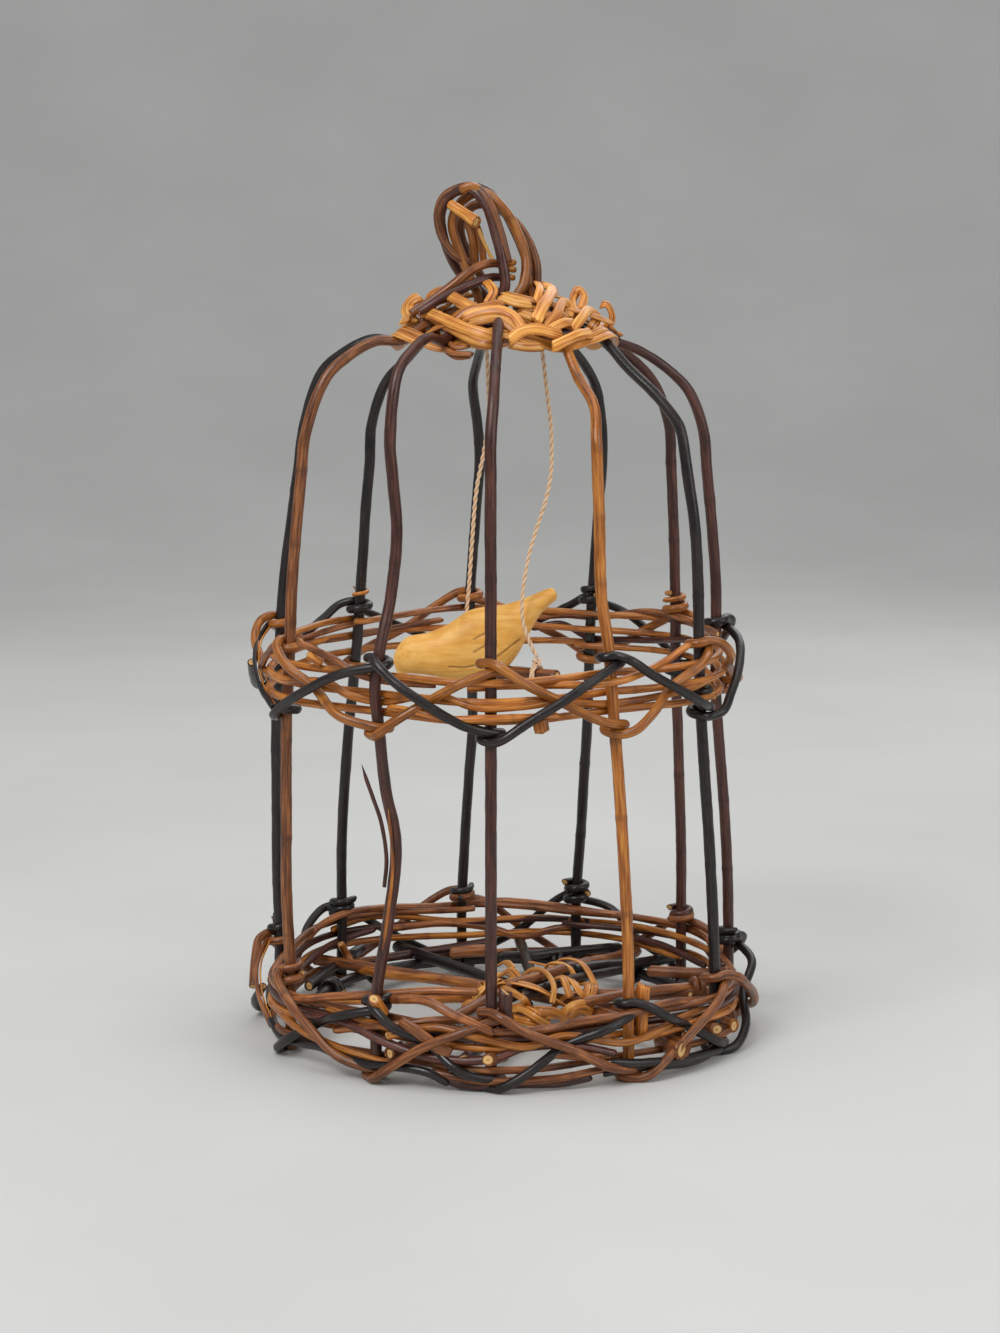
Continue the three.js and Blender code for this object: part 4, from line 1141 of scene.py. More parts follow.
def crownRing(radius, start, firstSide, seed, shift, lift, tint):
    rows = [(start - 1, 1 - 2 * cage["weaverLap"], firstSide * ringOver)]
    for visit in range(uprightCount + 1):
        side = firstSide if visit % 2 == 0 else -firstSide
        rows.append((start + visit, 0, side * ringOver))
        if visit < uprightCount:
            rows.append((start + visit, 0.5, 0))
    rows.append((start + uprightCount, 2 * cage["weaverLap"], -firstSide * ringOver))
    points, ups = [], []
    for visit, share, above in rows:
        angle = spokeAngle(visit) * (1 - share) + spokeAngle(visit + 1) * share
        points.append(crownPoint(angle, radius + shift, above + lift))
        ups.append(crownNormal(angle, radius))
    return makeSplit("ring", points, crown["ringHalf"], "split", seed, "crown", "flat", 0.7, tint, ups=ups,
                     lumps=crownLook["lumps"])


def crownSplit(turn, spread, seed, lift, tint):
    points, ups = [], []
    for step in range(crownLook["splitSteps"] + 1):
        share = step / crownLook["splitSteps"]
        angle = math.radians(turn + crown["splitTurn"] * share) + spread / crownLook["spreadAt"]
        radius = crown["splitInner"] * (1 - share) + crown["splitOuter"] * share
        points.append(crownPoint(angle, radius, splitAbove + lift))
        ups.append(crownNormal(angle, radius))
    return makeSplit("split", points, crown["splitHalf"], "split", seed, "crown", "flat", 0.8, tint, ups=ups,
                     lumps=crownLook["lumps"])


for i in range(crown["ringCount"]):
    radius = crown["radius"] - crownLook["rim"] - i * crown["ringPitch"]
    pair = [crownRing(radius, 3 + 2 * i, 1 if i % 2 == 0 else -1, 190 + 2 * i + part,
                      (1 - 2 * part) * crown["ringSpread"], part * crownLook["ringLift"], tint)
            for part, tint in enumerate(crownLook["ringTints"])]
    settle(joined(f"split_crown_ring_{i + 1}", pair), "cage", f"crown_ring_{i + 1}")

for i in range(crown["splitCount"]):
    pair = [crownSplit(360 / crown["splitCount"] * i, spread, 200 + 2 * i + part, crownLook["splitLift"] * part,
                       crownLook["splitTints"][part]) for part, spread in enumerate(crown["splitSpread"])]
    settle(joined(f"split_crown_split_{i + 1}", pair), "cage", f"crown_split_{i + 1}")
print("crown ready")


# handle loop and the strands that run from it over the crown

handle = {
    "footRise": 6, "strandSizes": [[0, 2.5], [0.3, 2.3], [1, 2.1]], "rootSizes": [[0, 1.8], [0.5, 2.2], [1, 1.9]],
    # node, the uprights at its feet, bark, lightness, places
    "strands": [
        ("handle_strand_front", (0, 7), "darkRed", 1.05, [
            [0.5, -12, 344], [-1, -10.5, 355], [-4, -8, 367], [-8, -6, 379], [-15, -3, 386.2], [-23.5, 1, 384.5],
            [-28.5, 4.5, 376], [-26.5, 8, 362], [-20, 11, 349]]),
        ("handle_strand_middle", (1, 8), "orange", 0.6, [
            [8.5, -9.5, 343], [10, -7, 354], [6.5, -4, 366], [-0.5, -2, 378], [-10, 1.5, 385.5], [-19, 5, 381.5],
            [-23.5, 7, 372], [-19, 5.2, 356], [-14, 3.5, 344]]),
        ("handle_strand_back", (3, 6), "brown", 0.72, [
            [14, 1.5, 343], [14.5, 2, 352], [11, 4, 363], [4, 6.5, 373], [-6, 9, 380], [-15, 11.5, 379],
            [-20, 13.5, 370], [-16, 15.5, 357], [-8, 15.5, 345]]),
    ],
    # [x, y, height over the splits]
    "roots": [
        ("handle_root_upper", "brown",
         [[-42, -15, -0.6], [-34, -14, 0.2], [-24, -12.5, 3], [-13, -10, 8], [-5, -5.5, 9], [3, -2, 7]]),
        ("handle_root_lower", "darkRed",
         [[-38, -20, -0.9], [-30, -19, 0], [-20, -16.5, 1], [-10, -11.5, 2.5], [-4, -6.5, 2.8], [2, -3, 2]]),
    ],
    "rootTint": 1.15,
}
footLevel = crownSurface(crown["legCircle"]) - cage["strandRadius"]
rootAbove = splitAbove + (crown["splitThick"] + cage["strandRadius"]) * flatShare + gap


def strandFoot(index, above):
    return polar(math.radians(uprights[index]["angle"]), crown["legCircle"], footLevel + above)


for i, (node, (first, last), bark, tint, bends) in enumerate(handle["strands"]):
    rise = handle["footRise"]
    points = [strandFoot(first, 0), strandFoot(first, rise)] + [Vector(p) for p in bends]
    points += [strandFoot(last, rise), strandFoot(last, 0)]
    addTwig("twig_" + node, points, handle["strandSizes"], bark, 220 + i, wobble=0.4, buds=0.3, tint=tint, step=1.6,
            node=node)
for i, (node, bark, bends) in enumerate(handle["roots"]):
    points = [Vector((x, y, crownSurface(math.hypot(x, y)) + rootAbove + above)) for x, y, above in bends]
    addTwig("twig_" + node, points, handle["rootSizes"], bark, 224 + i, wobble=0.4, buds=0.3,
            tint=handle["rootTint"], step=1.6, node=node)
print("handle ready")


# loose twigs and splits, each by the places that it is seen at

def seenTwigs(prefix, rows, place, seed, **look):
    for i, (name, bark, radius, tint, seen) in enumerate(rows):
        addTwig(prefix + name, seenAt(place, seen), radius, bark, seed + i, tint=tint, **look)


def seenSplits(prefix, rows, place, seed, focus, **look):
    # faces turned away from the focus
    for i, (half, tint, seen) in enumerate(rows):
        points = seenAt(place, seen)
        ups = [(point - focus).normalized() for point in points]
        addSplit(f"{prefix}_{i + 1}", points, half, "split", seed + i, wobble=0.6, tint=tint, ups=ups, step=1.2,
                 **look)


# twigs that thicken the bands: name, bark, radius, lightness, at the back, [x, y, outward from the uprights]
bandTwigs = [
    ("base_front_upper", "brown", 1.9, 1.1, False, [(337, 1030, 5.5), (375, 1026, 5), (402, 1024, 3),
     (444, 1020, -1), (494, 1022, -5), (520, 1031, -2), (547, 1030, 2), (578, 1022, 4), (624, 1015, 6),
     (667, 1003, 3), (705, 1000, -3), (730, 1000, -5)]),
    ("base_front_lower", "darkRed", 2.1, 1.5, False, [(301, 1015, 3), (344, 1022, 5), (385, 1042, 6.5),
     (423, 1056, 6), (465, 1061, 6.5), (495, 1058, 6.5), (526, 1047, 4), (573, 1046, 5), (613, 1053, 6.5)]),
    ("base_front_middle", "orange", 1.8, 0.8, False, [(329, 1009, 0), (362, 1020, 4), (400, 1029, 5.5),
     (439, 1028, 6), (483, 1039, 7), (526, 1047, 6), (564, 1036, 4), (623, 1043, 7), (650, 1035, 5),
     (680, 1018, 4), (704, 1009, 3)]),
    ("base_front_pink", "brown", 2.1, 1.45, False, [(392, 999, -3), (427, 1001, 3), (450, 1013, 6),
     (491, 1032, 8)]),
    ("base_front_bottom", "brown", 1.9, 1.0, False, [(432, 1072, 4), (470, 1080, 5), (515, 1081, 5),
     (559, 1078, 5), (605, 1069, 5)]),
    ("base_foot_left", "black", 2.2, 1.1, False, [(272, 1020, 5), (282, 1037, 5), (300, 1043, 5),
     (322, 1047, 5), (345, 1058, 6), (372, 1065, 6), (400, 1067, 6), (428, 1073, 6), (446, 1082, 5)]),
    ("base_foot_middle", "darkRed", 2.1, 0.7, False, [(438, 1076, 4), (462, 1085, 4), (490, 1086, 4),
     (520, 1084, 4), (560, 1083, 4), (588, 1078, 4)]),
    ("base_foot_right", "black", 2.2, 1.1, False, [(604, 1073, 5), (630, 1068, 5), (660, 1065, 6),
     (686, 1062, 6), (706, 1055, 6), (720, 1042, 5)]),
    ("base_front_right", "orange", 1.8, 0.95, False, [(645, 1038, 4), (684, 1026, 5), (728, 1007, 4)]),
    ("base_front_dark", "black", 2.2, 1.1, False, [(612, 1062, 7), (640, 1063, 8), (680, 1060, 8),
     (718, 1050, 7)]),
    ("base_left_inner", "brown", 2.0, 1.45, False, [(289, 1001, 6), (330, 997, 2), (369, 995, -3),
     (400, 993, -6), (430, 991, -8), (476, 992, -10)]),
    ("base_left_low", "orange", 1.8, 0.85, False, [(272, 1004, 5), (301, 1030, 7), (340, 1048, 5),
     (380, 1061, 3), (418, 1070, 5)]),
    ("base_right_short", "brown", 1.8, 1.2, False, [(553, 1055, 6), (585, 1056, 6), (613, 1052, 6)]),
    ("base_back_top", "brown", 1.9, 1.25, True, [(290, 960, 6), (300, 948, 5), (321, 925, 0), (345, 913, -5),
     (381, 908, -2), (444, 906, 4), (501, 901, 4), (550, 905, -2), (590, 911, -5), (640, 918, 2), (690, 930, 5),
     (716, 945, 4)]),
    ("base_back_second", "orange", 1.8, 0.9, True, [(332, 930, 4), (365, 918, 4), (398, 916, 1), (450, 921, -5),
     (502, 919, -2), (547, 918, 4), (592, 922, 4), (632, 926, 0), (672, 935, -5), (715, 952, -2)]),
    ("base_back_third", "darkRed", 1.9, 1.3, True, [(297, 972, -4), (321, 951, -2), (347, 938, 2),
     (372, 930, 0)]),
    ("base_back_low", "brown", 2.0, 1.35, True, [(394, 928, -2), (444, 923, -6), (488, 927, -3), (520, 936, 0),
     (560, 928, 4), (622, 924, 3)]),
    ("base_back_right", "darkRed", 1.7, 1.2, True, [(626, 936, -3), (662, 945, -5), (705, 966, -3)]),
    ("ring_front_low", "orange", 1.9, 1.1, False, [(391, 708, 3), (425, 714, 6), (447, 720, 7), (485, 719, 8),
     (520, 718, 6), (556, 716, 3)]),
    ("ring_front_top", "orange", 1.8, 1.15, False, [(470, 689, -4), (498, 686, -5), (540, 685, -3),
     (570, 685, 2), (590, 685, 4), (620, 681, 5), (640, 674, 3), (664, 662, 0), (687, 646, 3)]),
    ("ring_front_middle", "orange", 1.8, 0.95, False, [(443, 696, 3), (478, 708, 6), (520, 707, 5),
     (560, 702, 2), (602, 704, -3), (654, 697, -2), (690, 688, 4), (722, 672, 5)]),
    ("ring_front_left", "orange", 1.8, 1.0, False, [(262, 668, 4), (286, 681, 6), (328, 683, 3), (348, 695, 2),
     (380, 702, -4), (410, 698, -2)]),
    ("ring_left_upper", "brown", 1.7, 1.2, False, [(300, 643, 3), (335, 660, 5), (358, 674, 4), (385, 681, -4),
     (434, 685, -2)]),
    ("ring_back_left", "brown", 1.7, 1.2, True, [(299, 640, 4), (340, 627, 2), (375, 619, -3), (420, 612, 0),
     (466, 606, 5)]),
    ("ring_back_left_low", "brown", 1.7, 1.0, True, [(306, 643, 2), (348, 637, 4), (400, 627, 0),
     (440, 620, -3)]),
    ("ring_back_right", "brown", 1.8, 1.2, True, [(536, 617, -2), (565, 615, 2), (595, 617, 5), (650, 612, 1),
     (690, 621, -4), (718, 634, -1)]),
    ("ring_back_right_low", "darkRed", 1.7, 1.2, True, [(534, 628, 0), (562, 624, 1), (588, 637, 4),
     (640, 640, 2), (690, 640, -3)]),
]
for i, (name, bark, radius, tint, back, seen) in enumerate(bandTwigs):
    points = [onBand(x, y, outward, back) for x, y, outward in seen]
    for point in points:
        point.z = max(point.z, radius + 0.2)
    addTwig("twig_" + name, points, [[0, radius * 0.9], [0.5, radius], [1, radius * 0.88]], bark, 300 + i,
            wobble=0.8, tint=tint, slant=(1.4, 1.6))

# cut ends that stand out of the bands: name, bark, radius, lightness, inner and outer end, slant of the cut
stubs = [
    ("base_cone", "brown", 4.6, 1.1, (662, 1040, -6), (682, 1050, 11), 2.5),
    ("base_front", "brown", 2.9, 1.1, (503, 1056, -6), (488, 1060, 11), 1.2),
    ("base_small", "orange", 2.0, 0.9, (404, 1032, 5), (387, 1036, 8), 1),
    ("base_right", "orange", 3.2, 1.0, (716, 1020, -4), (734, 1026, 7), 1),
    ("base_high_right", "brown", 2.6, 1.2, (712, 978, -4), (729, 971, 4), 1),
    ("base_left", "brown", 2.4, 1, (286, 984, -3), (270, 978, 3), 1),
    ("ring_left", "orange", 1.9, 1.0, (322, 664, 2), (308, 655, 6), 1),
    ("base_gold", "orange", 2.7, 1.1, (384, 1014, 3), (374, 999, 9), 1.5),
]
for i, (name, bark, radius, tint, start, end, slant) in enumerate(stubs):
    a, b = onBand(*start), onBand(*end)
    addTwig("stub_" + name, [a, a.lerp(b, 0.5), b], radius, bark, 340 + i, wobble=0.3, buds=0.3, tint=tint,
            slant=(0, slant), step=1.2)

# second stems cut off beside the feet of some uprights: index, along, top, bark
footStubs = [(0, 6.0, 43, "darkRed"), (1, 6.2, 41, "orange"), (8, -5.8, 47, "black")]
for i, (index, along, top, bark) in enumerate(footStubs):
    rows = [(along, 0.5, 17), (along, 1.2, 30), (along * 1.06, 1.8, top)]
    addTwig(f"stub_foot_{i + 1}", [besideUpright(index, *row) for row in rows], [[0, 2.7], [1, 3.0]], bark, 350 + i,
            wobble=0.5, buds=0.5, tint=1.2, slant=(0, 2.2), step=1.5)

wrapLook = {"pitch": 3.4, "stepsPerTurn": 10, "leastSteps": 6, "inset": 0.92, "standOff": 1.6}


def wrapKnot(name, centre, axis, stick, radius, turns, bark, seed, startTurn, tint=1):
    # a twig turned round a stick, its ends standing off a little
    axis = axis.normalized()
    side = axis.cross(Vector((0, 0.3, 1)) if abs(axis.z) < 0.9 else Vector((0, 1, 0))).normalized()
    front = axis.cross(side)
    points = []
    steps = max(wrapLook["leastSteps"], round(wrapLook["stepsPerTurn"] * turns))
    reach = stick + radius * wrapLook["inset"]
    for k in range(steps + 1):
        turn = startTurn + 2 * math.pi * turns * k / steps
        away = reach + (wrapLook["standOff"] if k in (0, steps) else 0)
        points.append(centre + axis * wrapLook["pitch"] * turns * (k / steps - 0.5) + side * away * math.cos(turn)
                      + front * away * math.sin(turn))
    addTwig(name, points, [[0, radius * 0.85], [0.5, radius], [1, radius * 0.8]], bark, seed, wobble=0.4, buds=0.3,
            tint=tint, slant=(1, 1), step=1)


# knots on the uprights: index, height, turns, bark, radius
uprightKnots = [
    (7, 41.5, 1.5, "black", 2.1), (6, 41.0, 1.4, "black", 2.0), (5, 44.2, 1.6, "black", 2.2),
    (5, 38.5, 1.1, "black", 2.2), (4, 41, 1.2, "darkRed", 1.9), (3, 40, 1.3, "black", 2.0),
    (10, 34.5, 1.3, "black", 2.2), (9, 38, 1.2, "brown", 1.9), (8, 42, 1.2, "black", 1.9),
    (7, 197.5, 1.0, "orange", 1.0), (4, 196.5, 1.1, "orange", 1.5), (5, 196, 1.2, "black", 1.8),
    (2, 164, 1.2, "black", 2.0),
]
for i, (index, height, turns, bark, radius) in enumerate(uprightKnots):
    wrapKnot(f"knot_upright_{i + 1}", uprightPoint(index, height), Vector((0, 0, 1)), cage["uprightRadius"], radius,
             turns, bark, 360 + i, 1.3 * i)

# floor twigs: name, bark, radius, lightness, [x, y, level]
floorTwigs = [
    ("speckled", "orange", 2.3, 0.75, [(360, 969, 13), (388, 975, 15), (430, 979, 18), (481, 987, 22)]),
    ("link", "orange", 1.9, 0.9, [(341, 944, 24), (347, 955, 17), (354, 968, 12)]),
    ("right", "brown", 2.3, 1.2, [(583, 1003, 21), (620, 995, 20), (640, 991, 19), (690, 987, 17)]),
    ("thick_right", "brown", 2.9, 1.1, [(650, 971, 17), (680, 973, 17), (709, 974, 17)]),
    ("back_left", "darkRed", 2.3, 0.9, [(384, 958, 14), (415, 953, 14), (444, 949, 14), (489, 942, 15)]),
    ("back_stub", "brown", 3.1, 1.1, [(452, 953, 15), (470, 951, 16), (491, 950, 16)]),
    ("back_green", "black", 2.4, 1.2, [(500, 956, 14), (530, 955, 14), (559, 952, 14), (619, 947, 14)]),
    ("back_corner", "black", 2.6, 1.1, [(309, 986, 13), (339, 963, 13), (367, 944, 14)]),
    ("middle_brown", "brown", 2.6, 1.0, [(506, 986, 25), (530, 979, 26), (563, 969, 25)]),
    ("middle_grey", "black", 2.4, 1.3, [(523, 995, 22), (549, 986, 23), (574, 979, 20), (619, 970, 15),
     (643, 965, 12.5)]),
]
seenTwigs("twig_floor_", floorTwigs, atLevel, 380, wobble=0.5, slant=(1.2, 1.4))
for i, angle in enumerate([194, 226, 162, 134, 250, 106]):
    centre = polar(math.radians(angle), floor["hoopRing"], hoopHeight)
    wrapKnot(f"knot_floor_{i + 1}", centre, Vector((-centre.y, centre.x, 0)), 2.7, 1.7, 1.8, "black", 390 + i,
             0.7 * i, tint=1.1)
centre = atLevel(697, 987, 17)
wrapKnot("knot_floor_right", centre, Vector((centre.x, centre.y, 0)), 2.4, 1.6, 2.2, "brown", 397, 0.7, tint=1.1)

# loops of peeled split that bind the crossing: half width, lightness, [x, y, level]
slathSplits = [
    (1.4, 0.8, [(522, 977, 24), (531, 970, 28), (541, 970, 29), (550, 977, 28), (554, 988, 25),
     (552, 1003, 20)]),
    (1.7, 1.0, [(554, 979, 25), (562, 978, 27), (566, 986, 25), (570, 998, 20)]),
    (1.7, 1.1, [(563, 976, 24), (573, 982, 26), (580, 992, 23), (587, 1001, 18)]),
    (1.6, 0.85, [(500, 987, 23), (514, 993, 27), (525, 1000, 26), (528, 1007, 21)]),
    (2.3, 1.15, [(510, 1010, 17), (521, 1008, 21), (536, 1016, 20), (549, 1024, 15)]),
    (2.1, 1.1, [(511, 1018, 15), (529, 1022, 17), (549, 1026, 13)]),
    (2.2, 0.95, [(529, 1010, 19), (541, 1011, 22), (556, 1013, 20), (566, 1020, 15)]),
    (2.0, 1.1, [(535, 1020, 16), (547, 1015, 20), (562, 1015, 17)]),
    (2.2, 0.98, [(563, 1019, 15), (570, 1008, 21), (584, 1004, 21), (594, 1010, 15)]),
    (1.9, 0.9, [(570, 1018, 14), (579, 1011, 18), (592, 1014, 14)]),
    (2.0, 1.0, [(501, 975, 22), (510, 970, 26), (520, 980, 24), (524, 990, 22)]),
    (1.8, 0.85, [(497, 966, 20), (505, 962, 23), (513, 968, 23)]),
    (2.1, 1.0, [(473, 1001, 15), (480, 990, 22), (487, 986, 22), (484, 998, 18)]),
    (1.9, 1.08, [(462, 1008, 14), (471, 1003, 18), (482, 1010, 14)]),
    (1.5, 1.1, [(530, 962, 21), (549, 966, 22), (566, 970, 20), (585, 972, 16)]),
    (1.5, 1.0, [(560, 962, 20), (575, 966, 21), (592, 971, 16)]),
]
seenSplits("split_slath", slathSplits, atLevel, 400, slathMiddle + Vector((0, 25, -12)), facing="floor")

# dark coils under the weave of the crown, put there to stand in for the shade in its gaps: radius of the coil,
# height, bark
shadeCoils = [(14, -3.4, "darkRed"), (24, -3.6, "black"), (33, -3.6, "darkRed"), (42, -3.4, "brown")]
for i, (radius, below, bark) in enumerate(shadeCoils):
    points = [crownPoint(math.radians(40 * i + 370 * k / 30), radius + 0.12 * k, below) for k in range(31)]
    addTwig(f"twig_crown_shade_coil_{i + 1}", points, 1.9, bark, 415 + i, wobble=1.5, slant=(1, 1), step=1.8)

# wide loose splits over the crown: half width, lightness, [x, y, height over the dome]
crownSplits = [
    (2.7, 1.05, [(421, 311, 4), (436, 316, 6), (453, 323, 7), (468, 329, 7), (483, 334, 6), (494, 338, 4)]),
    (2.2, 0.86, [(434, 318, 3), (453, 330, 4), (473, 340, 4), (486, 344, 4), (496, 345, 2)]),
    (2.7, 1.0, [(432, 309, 4), (430, 298, 7), (438, 292, 9), (451, 296, 9), (466, 304, 8), (478, 311, 7)]),
    (2.1, 1.1, [(467, 286, 8), (479, 281, 10), (489, 284, 11), (493, 293, 10), (487, 303, 7)]),
    (1.9, 0.95, [(453, 321, 5), (466, 311, 8), (486, 306, 9), (502, 302, 8)]),
    (2.4, 1.12, [(463, 318, 7), (480, 312, 9), (499, 310, 10), (511, 314, 9), (519, 323, 8), (524, 331, 6)]),
    (1.9, 0.85, [(468, 324, 6), (484, 320, 8), (500, 319, 8), (510, 326, 7), (518, 334, 5)]),
    (2.7, 1.14, [(509, 341, 3), (520, 332, 6), (534, 329, 8), (550, 332, 7), (562, 336, 4)]),
    (2.0, 0.78, [(511, 345, 1), (526, 347, 2), (542, 347, 1)]),
    (2.6, 1.1, [(552, 347, 2), (565, 341, 5), (579, 335, 6), (591, 333, 3)]),
    (2.7, 1.12, [(536, 321, 7), (542, 308, 9), (550, 294, 10), (550, 287, 9), (542, 285, 7)]),
    (1.8, 1.2, [(536, 302, 8), (540, 290, 11), (537, 282, 10)]),
    (2.4, 0.98, [(547, 328, 6), (557, 314, 9), (563, 302, 10), (570, 306, 8), (568, 317, 5)]),
    (2.2, 1.04, [(549, 330, 6), (563, 323, 8), (575, 322, 5)]),
    (2.0, 1.1, [(575, 311, 6), (574, 297, 9), (579, 289, 10), (584, 295, 9), (581, 309, 6)]),
    (2.2, 1.0, [(573, 330, 5), (582, 318, 8), (589, 310, 9), (597, 316, 7), (591, 328, 4)]),
    (2.0, 1.06, [(601, 305, 4), (606, 304, 6), (611, 311, 6), (612, 320, 4), (607, 327, 2)]),
    (3.4, 0.95, [(413, 324, 3), (409, 316, 7), (408, 307, 9.5), (413, 300, 9), (420, 297, 6)]),
    (2.0, 0.84, [(520, 313, 6), (534, 317, 7), (548, 316, 7), (566, 315, 6)]),
    (2.2, 0.9, [(500, 297, 8), (516, 303, 8), (532, 305, 8)]),
]
seenSplits("split_crown_loose", crownSplits, onCrown, 420, Vector((0, 48, 290)), slant=(1, 1), lumps=0.12)

# brown ends curled under the left of the crown
curls = [(1.5, [(436, 330, -3), (441, 343, -4), (452, 353, -4), (473, 355, -3)]),
         (1.3, [(433, 334, -4), (444, 349, -6), (458, 358, -6), (471, 357, -5)]),
         (1.4, [(447, 342, -2), (458, 348, -2), (470, 346, -2)])]
for i, (half, seen) in enumerate(curls):
    addSplit(f"split_under_crown_{i + 1}", seenAt(onCrown, seen), half, "brown", 440 + i, "crown", "half", 0.6,
             tint=1.2, step=1.2)

# more strands in the handle: name, bark, radius, lightness, [x, y, depth]
loopTwigs = [
    ("outer", "brown", 2.0, 0.7, [(481, 268, 6), (466, 262, 5), (452, 252, 5), (441, 234, 4), (438, 213, 3),
     (444, 197, 2), (459, 188, 0), (475, 187, -3), (487, 199, -6), (497, 222, -8), (504, 246, -9),
     (508, 262, -9)]),
    ("right", "darkRed", 1.7, 0.9, [(478, 186, 4), (492, 194, 3), (505, 214, 2), (516, 236, 3), (524, 256, 5),
     (532, 278, 6)]),
    ("knob", "orange", 2.2, 0.65, [(462, 190, -3), (470, 186.5, -4), (479, 190, -4)]),
]
seenTwigs("twig_handle_", loopTwigs, atDepth, 450, wobble=0.3, buds=0.3, slant=(0.8, 0.8), step=1.5)
# flat strips inside the loop: half width, finish, lightness, [x, y, depth]
loopFlats = [
    (2.2, "orange", 0.62, [(475, 264, 8), (474, 250, 7), (472, 234, 5), (468, 222, 4)]),
    (1.7, "orange", 0.72, [(484, 264, 6), (482, 248, 5), (478, 230, 4), (474, 222, 3)]),
    (0.9, "split", 1.15, [(494, 263, 4), (488, 251, 4), (482, 238, 3), (478, 228, 3)]),
]
for i, (half, finish, tint, seen) in enumerate(loopFlats):
    addSplit(f"split_handle_flat_{i + 1}", seenAt(atDepth, seen), half, finish, 453 + i, "band", "half", 0.2,
             tint=tint, ups=[Vector((0, -1, 0))] * len(seen), step=1.5)
# a stub with a pale end, turns between the legs and a stub beside them
paleStub = seenAt(atDepth, [(450, 204, 0), (462, 212, -4), (476, 222, -13)])
addTwig("stub_handle_pale", paleStub, [[0, 2.3], [1, 2.9]], "split", 456, wobble=0.2, buds=0.2, tint=1.05,
        slant=(0, 1.4), step=1.2)
for i, (x, y) in enumerate([(509, 263), (509, 270), (508, 278)]):
    points = seenAt(atDepth, [(x - 5, y + 1, -6), (x, y - 1, -8), (x + 6, y, -6)])
    addSplit(f"split_handle_turn_{i + 1}", points, 1.5, "split", 457 + i, "band", "half", 0.3, tint=0.75, step=1)
legStub = seenAt(atDepth, [(533, 302, -6), (529, 288, -6), (525, 273, -6)])
addTwig("stub_handle", legStub, [[0, 2.2], [1, 2.5]], "orange", 460, wobble=0.3, buds=0.3, tint=0.75,
        slant=(0, 1.5), step=1.2)

# split twigs across the open bay at the left, bark outside and a pale edge inside: [share, outward, height]
sideSplits = [("ring", "black", [(0.02, 5, 187), (0.25, 7, 181), (0.5, 7.5, 172), (0.75, 7, 164), (0.98, 5.5, 157)]),
              ("ring_inner", "brown", [(0.3, 3.5, 163), (0.5, 5, 170), (0.75, 5.5, 178), (0.98, 5, 186)]),
              ("base", "brown", [(0.05, 5, 36), (0.3, 7, 29), (0.55, 7, 19), (0.85, 5.5, 9)])]
for i, (name, bark, seen) in enumerate(sideSplits):
    for part, half, inward, finish in (("bark", 1.8, 0, bark), ("edge", 0.75, 1.5, "split")):
        points = [bayPoint(8, share, outward - inward, height) for share, outward, height in seen]
        addSplit(f"split_side_{name}_{part}", points, half, finish, 470 + 2 * i, "band", "half", 0.4, step=1.4)
strip = [besideUpright(splitIndex, 0.9, 2.1, height) for height in (57, 75, 95, 119)]
addSplit("split_upright_face", strip, 0.8, "orange", 478, "band", "half", 0.1, tint=0.8, taper=(0.2, 0.2))

# a pointed tag of bark that hangs from the ring, and a flat piece in the base
tag = seenAt(onBand, [(540, 720, 7), (541, 726, 7.2), (543, 734, 7.4)])
addSplit("bark_tag", tag, 3.4, "orange", 462, "band", "flat", 0.2, tint=0.85, step=1, taper=(1, 0.08))
flat = seenAt(onBand, [(400, 1021, 7.5), (418, 1032, 8), (437, 1047, 8), (451, 1054, 7)])
addSplit("split_base_flat", flat, 2.6, "brown", 463, "band", "flat", 0.4, step=1.2)
print("loose twigs ready")


# floor of the room, light and background

studio = {"floorSize": 8.0, "wallHeight": 4.0, "coveRadius": 2.2, "coveSteps": 24, "floorColour": (200, 200, 197),
          "mottle": 3, "floorRough": 0.85, "worldColour": (236, 238, 240), "worldStrength": 0.62,
          "glossStrength": 0.35, "seenColour": (172, 172, 171), "aim": Vector((0, 0, 0.2)),
          # name, place, size, power
          "lamps": [("key", (-0.75, -1.15, 1.45), 0.7, 16), ("fill", (1.3, -0.9, 0.9), 1.0, 7),
                    ("back", (0.5, 1.3, 1.3), 1.1, 7), ("top", (0, 0, 1.9), 1.3, 7)]}


def selectEdges(mesh, wanted):
    bpy.ops.object.mode_set(mode="EDIT")
    bpy.ops.mesh.select_mode(type="EDGE")
    bpy.ops.mesh.select_all(action="DESELECT")
    bpy.ops.object.mode_set(mode="OBJECT")
    for edge in mesh.edges:
        edge.select = all(wanted(mesh.vertices[v].co) for v in edge.vertices)
    bpy.ops.object.mode_set(mode="EDIT")


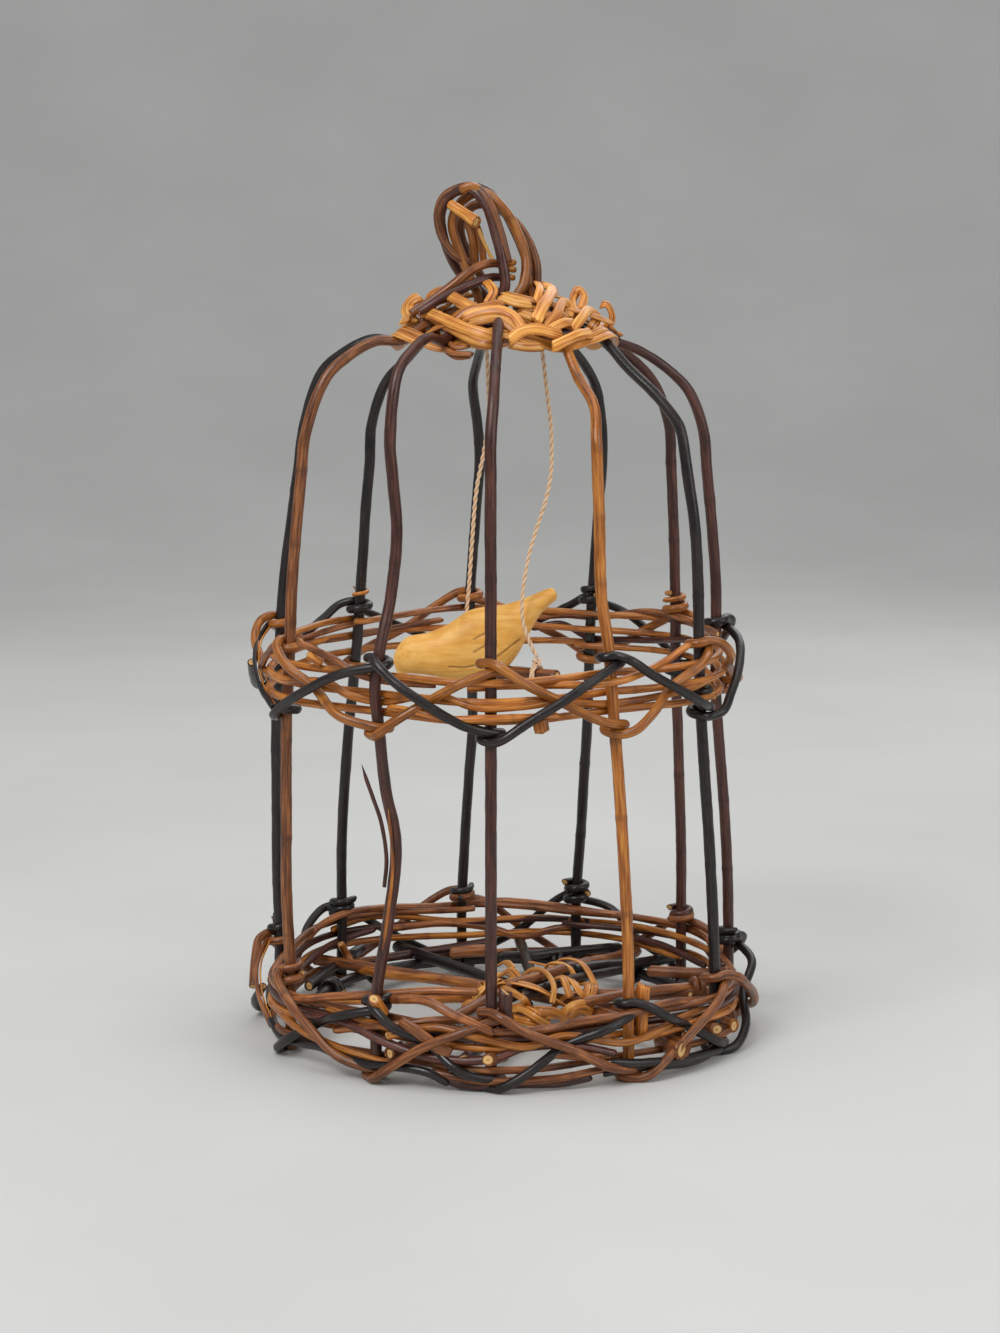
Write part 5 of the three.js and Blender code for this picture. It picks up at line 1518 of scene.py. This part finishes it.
def addGround():
    # the floor runs up behind the object in one wide curve
    bpy.ops.object.select_all(action="DESELECT")
    bpy.ops.mesh.primitive_plane_add(size=studio["floorSize"], location=(0, 0, 0))
    ground = bpy.context.object
    ground.name = "floor"
    selectEdges(ground.data, lambda place: place.y > 0)
    bpy.ops.mesh.extrude_region_move(TRANSFORM_OT_translate={"value": (0, 0, studio["wallHeight"])})
    selectEdges(ground.data, lambda place: place.y > 0 and place.z < 0.01)
    bpy.ops.mesh.bevel(offset=studio["coveRadius"], segments=studio["coveSteps"], profile=0.5, affect="EDGES")
    bpy.ops.object.mode_set(mode="OBJECT")
    bpy.ops.object.shade_smooth()
    m = Nodes("floor")
    cloud = m.noise(m.add("ShaderNodeTexCoord").outputs["Object"], (1, 1, 1), 3, 3)
    darker = [value - studio["mottle"] for value in studio["floorColour"]]
    paler = [value + studio["mottle"] for value in studio["floorColour"]]
    m.paint(m.ramp(cloud, (0.35, darker), (0.65, paler)))
    m.shader.inputs["Roughness"].default_value = studio["floorRough"]
    ground.data.materials.append(m.material)


def addLamps():
    for name, place, size, power in studio["lamps"]:
        light = bpy.data.lights.new(name, "AREA")
        light.energy = power
        light.size = size
        lamp = bpy.data.objects.new(name, light)
        lamp.location = place
        lamp.rotation_euler = (studio["aim"] - Vector(place)).to_track_quat("-Z", "Y").to_euler()
        bpy.context.scene.collection.objects.link(lamp)


def addWorld():
    # a soft sky, weaker in reflections, and a plain grey behind the object
    world = bpy.context.scene.world or bpy.data.worlds.new("world")
    bpy.context.scene.world = world
    world.use_nodes = True
    nodes, links = world.node_tree.nodes, world.node_tree.links
    sky = nodes["Background"]
    sky.inputs["Color"].default_value = shade(*studio["worldColour"])
    seen = nodes.new("ShaderNodeBackground")
    seen.inputs["Color"].default_value = shade(*studio["seenColour"])
    path = nodes.new("ShaderNodeLightPath")
    dim = nodes.new("ShaderNodeMapRange")
    dim.inputs["To Min"].default_value = studio["worldStrength"]
    dim.inputs["To Max"].default_value = studio["glossStrength"]
    links.new(path.outputs["Is Glossy Ray"], dim.inputs["Value"])
    links.new(dim.outputs["Result"], sky.inputs["Strength"])
    blend = nodes.new("ShaderNodeMixShader")
    links.new(path.outputs["Is Camera Ray"], blend.inputs["Fac"])
    links.new(sky.outputs["Background"], blend.inputs[1])
    links.new(seen.outputs["Background"], blend.inputs[2])
    links.new(blend.outputs["Shader"], nodes["World Output"].inputs["Surface"])


addGround()
addLamps()
addWorld()
for outline in outlines.values():
    bpy.data.objects.remove(outline)
bpy.context.scene.view_settings.view_transform = "Standard"
print("studio ready")
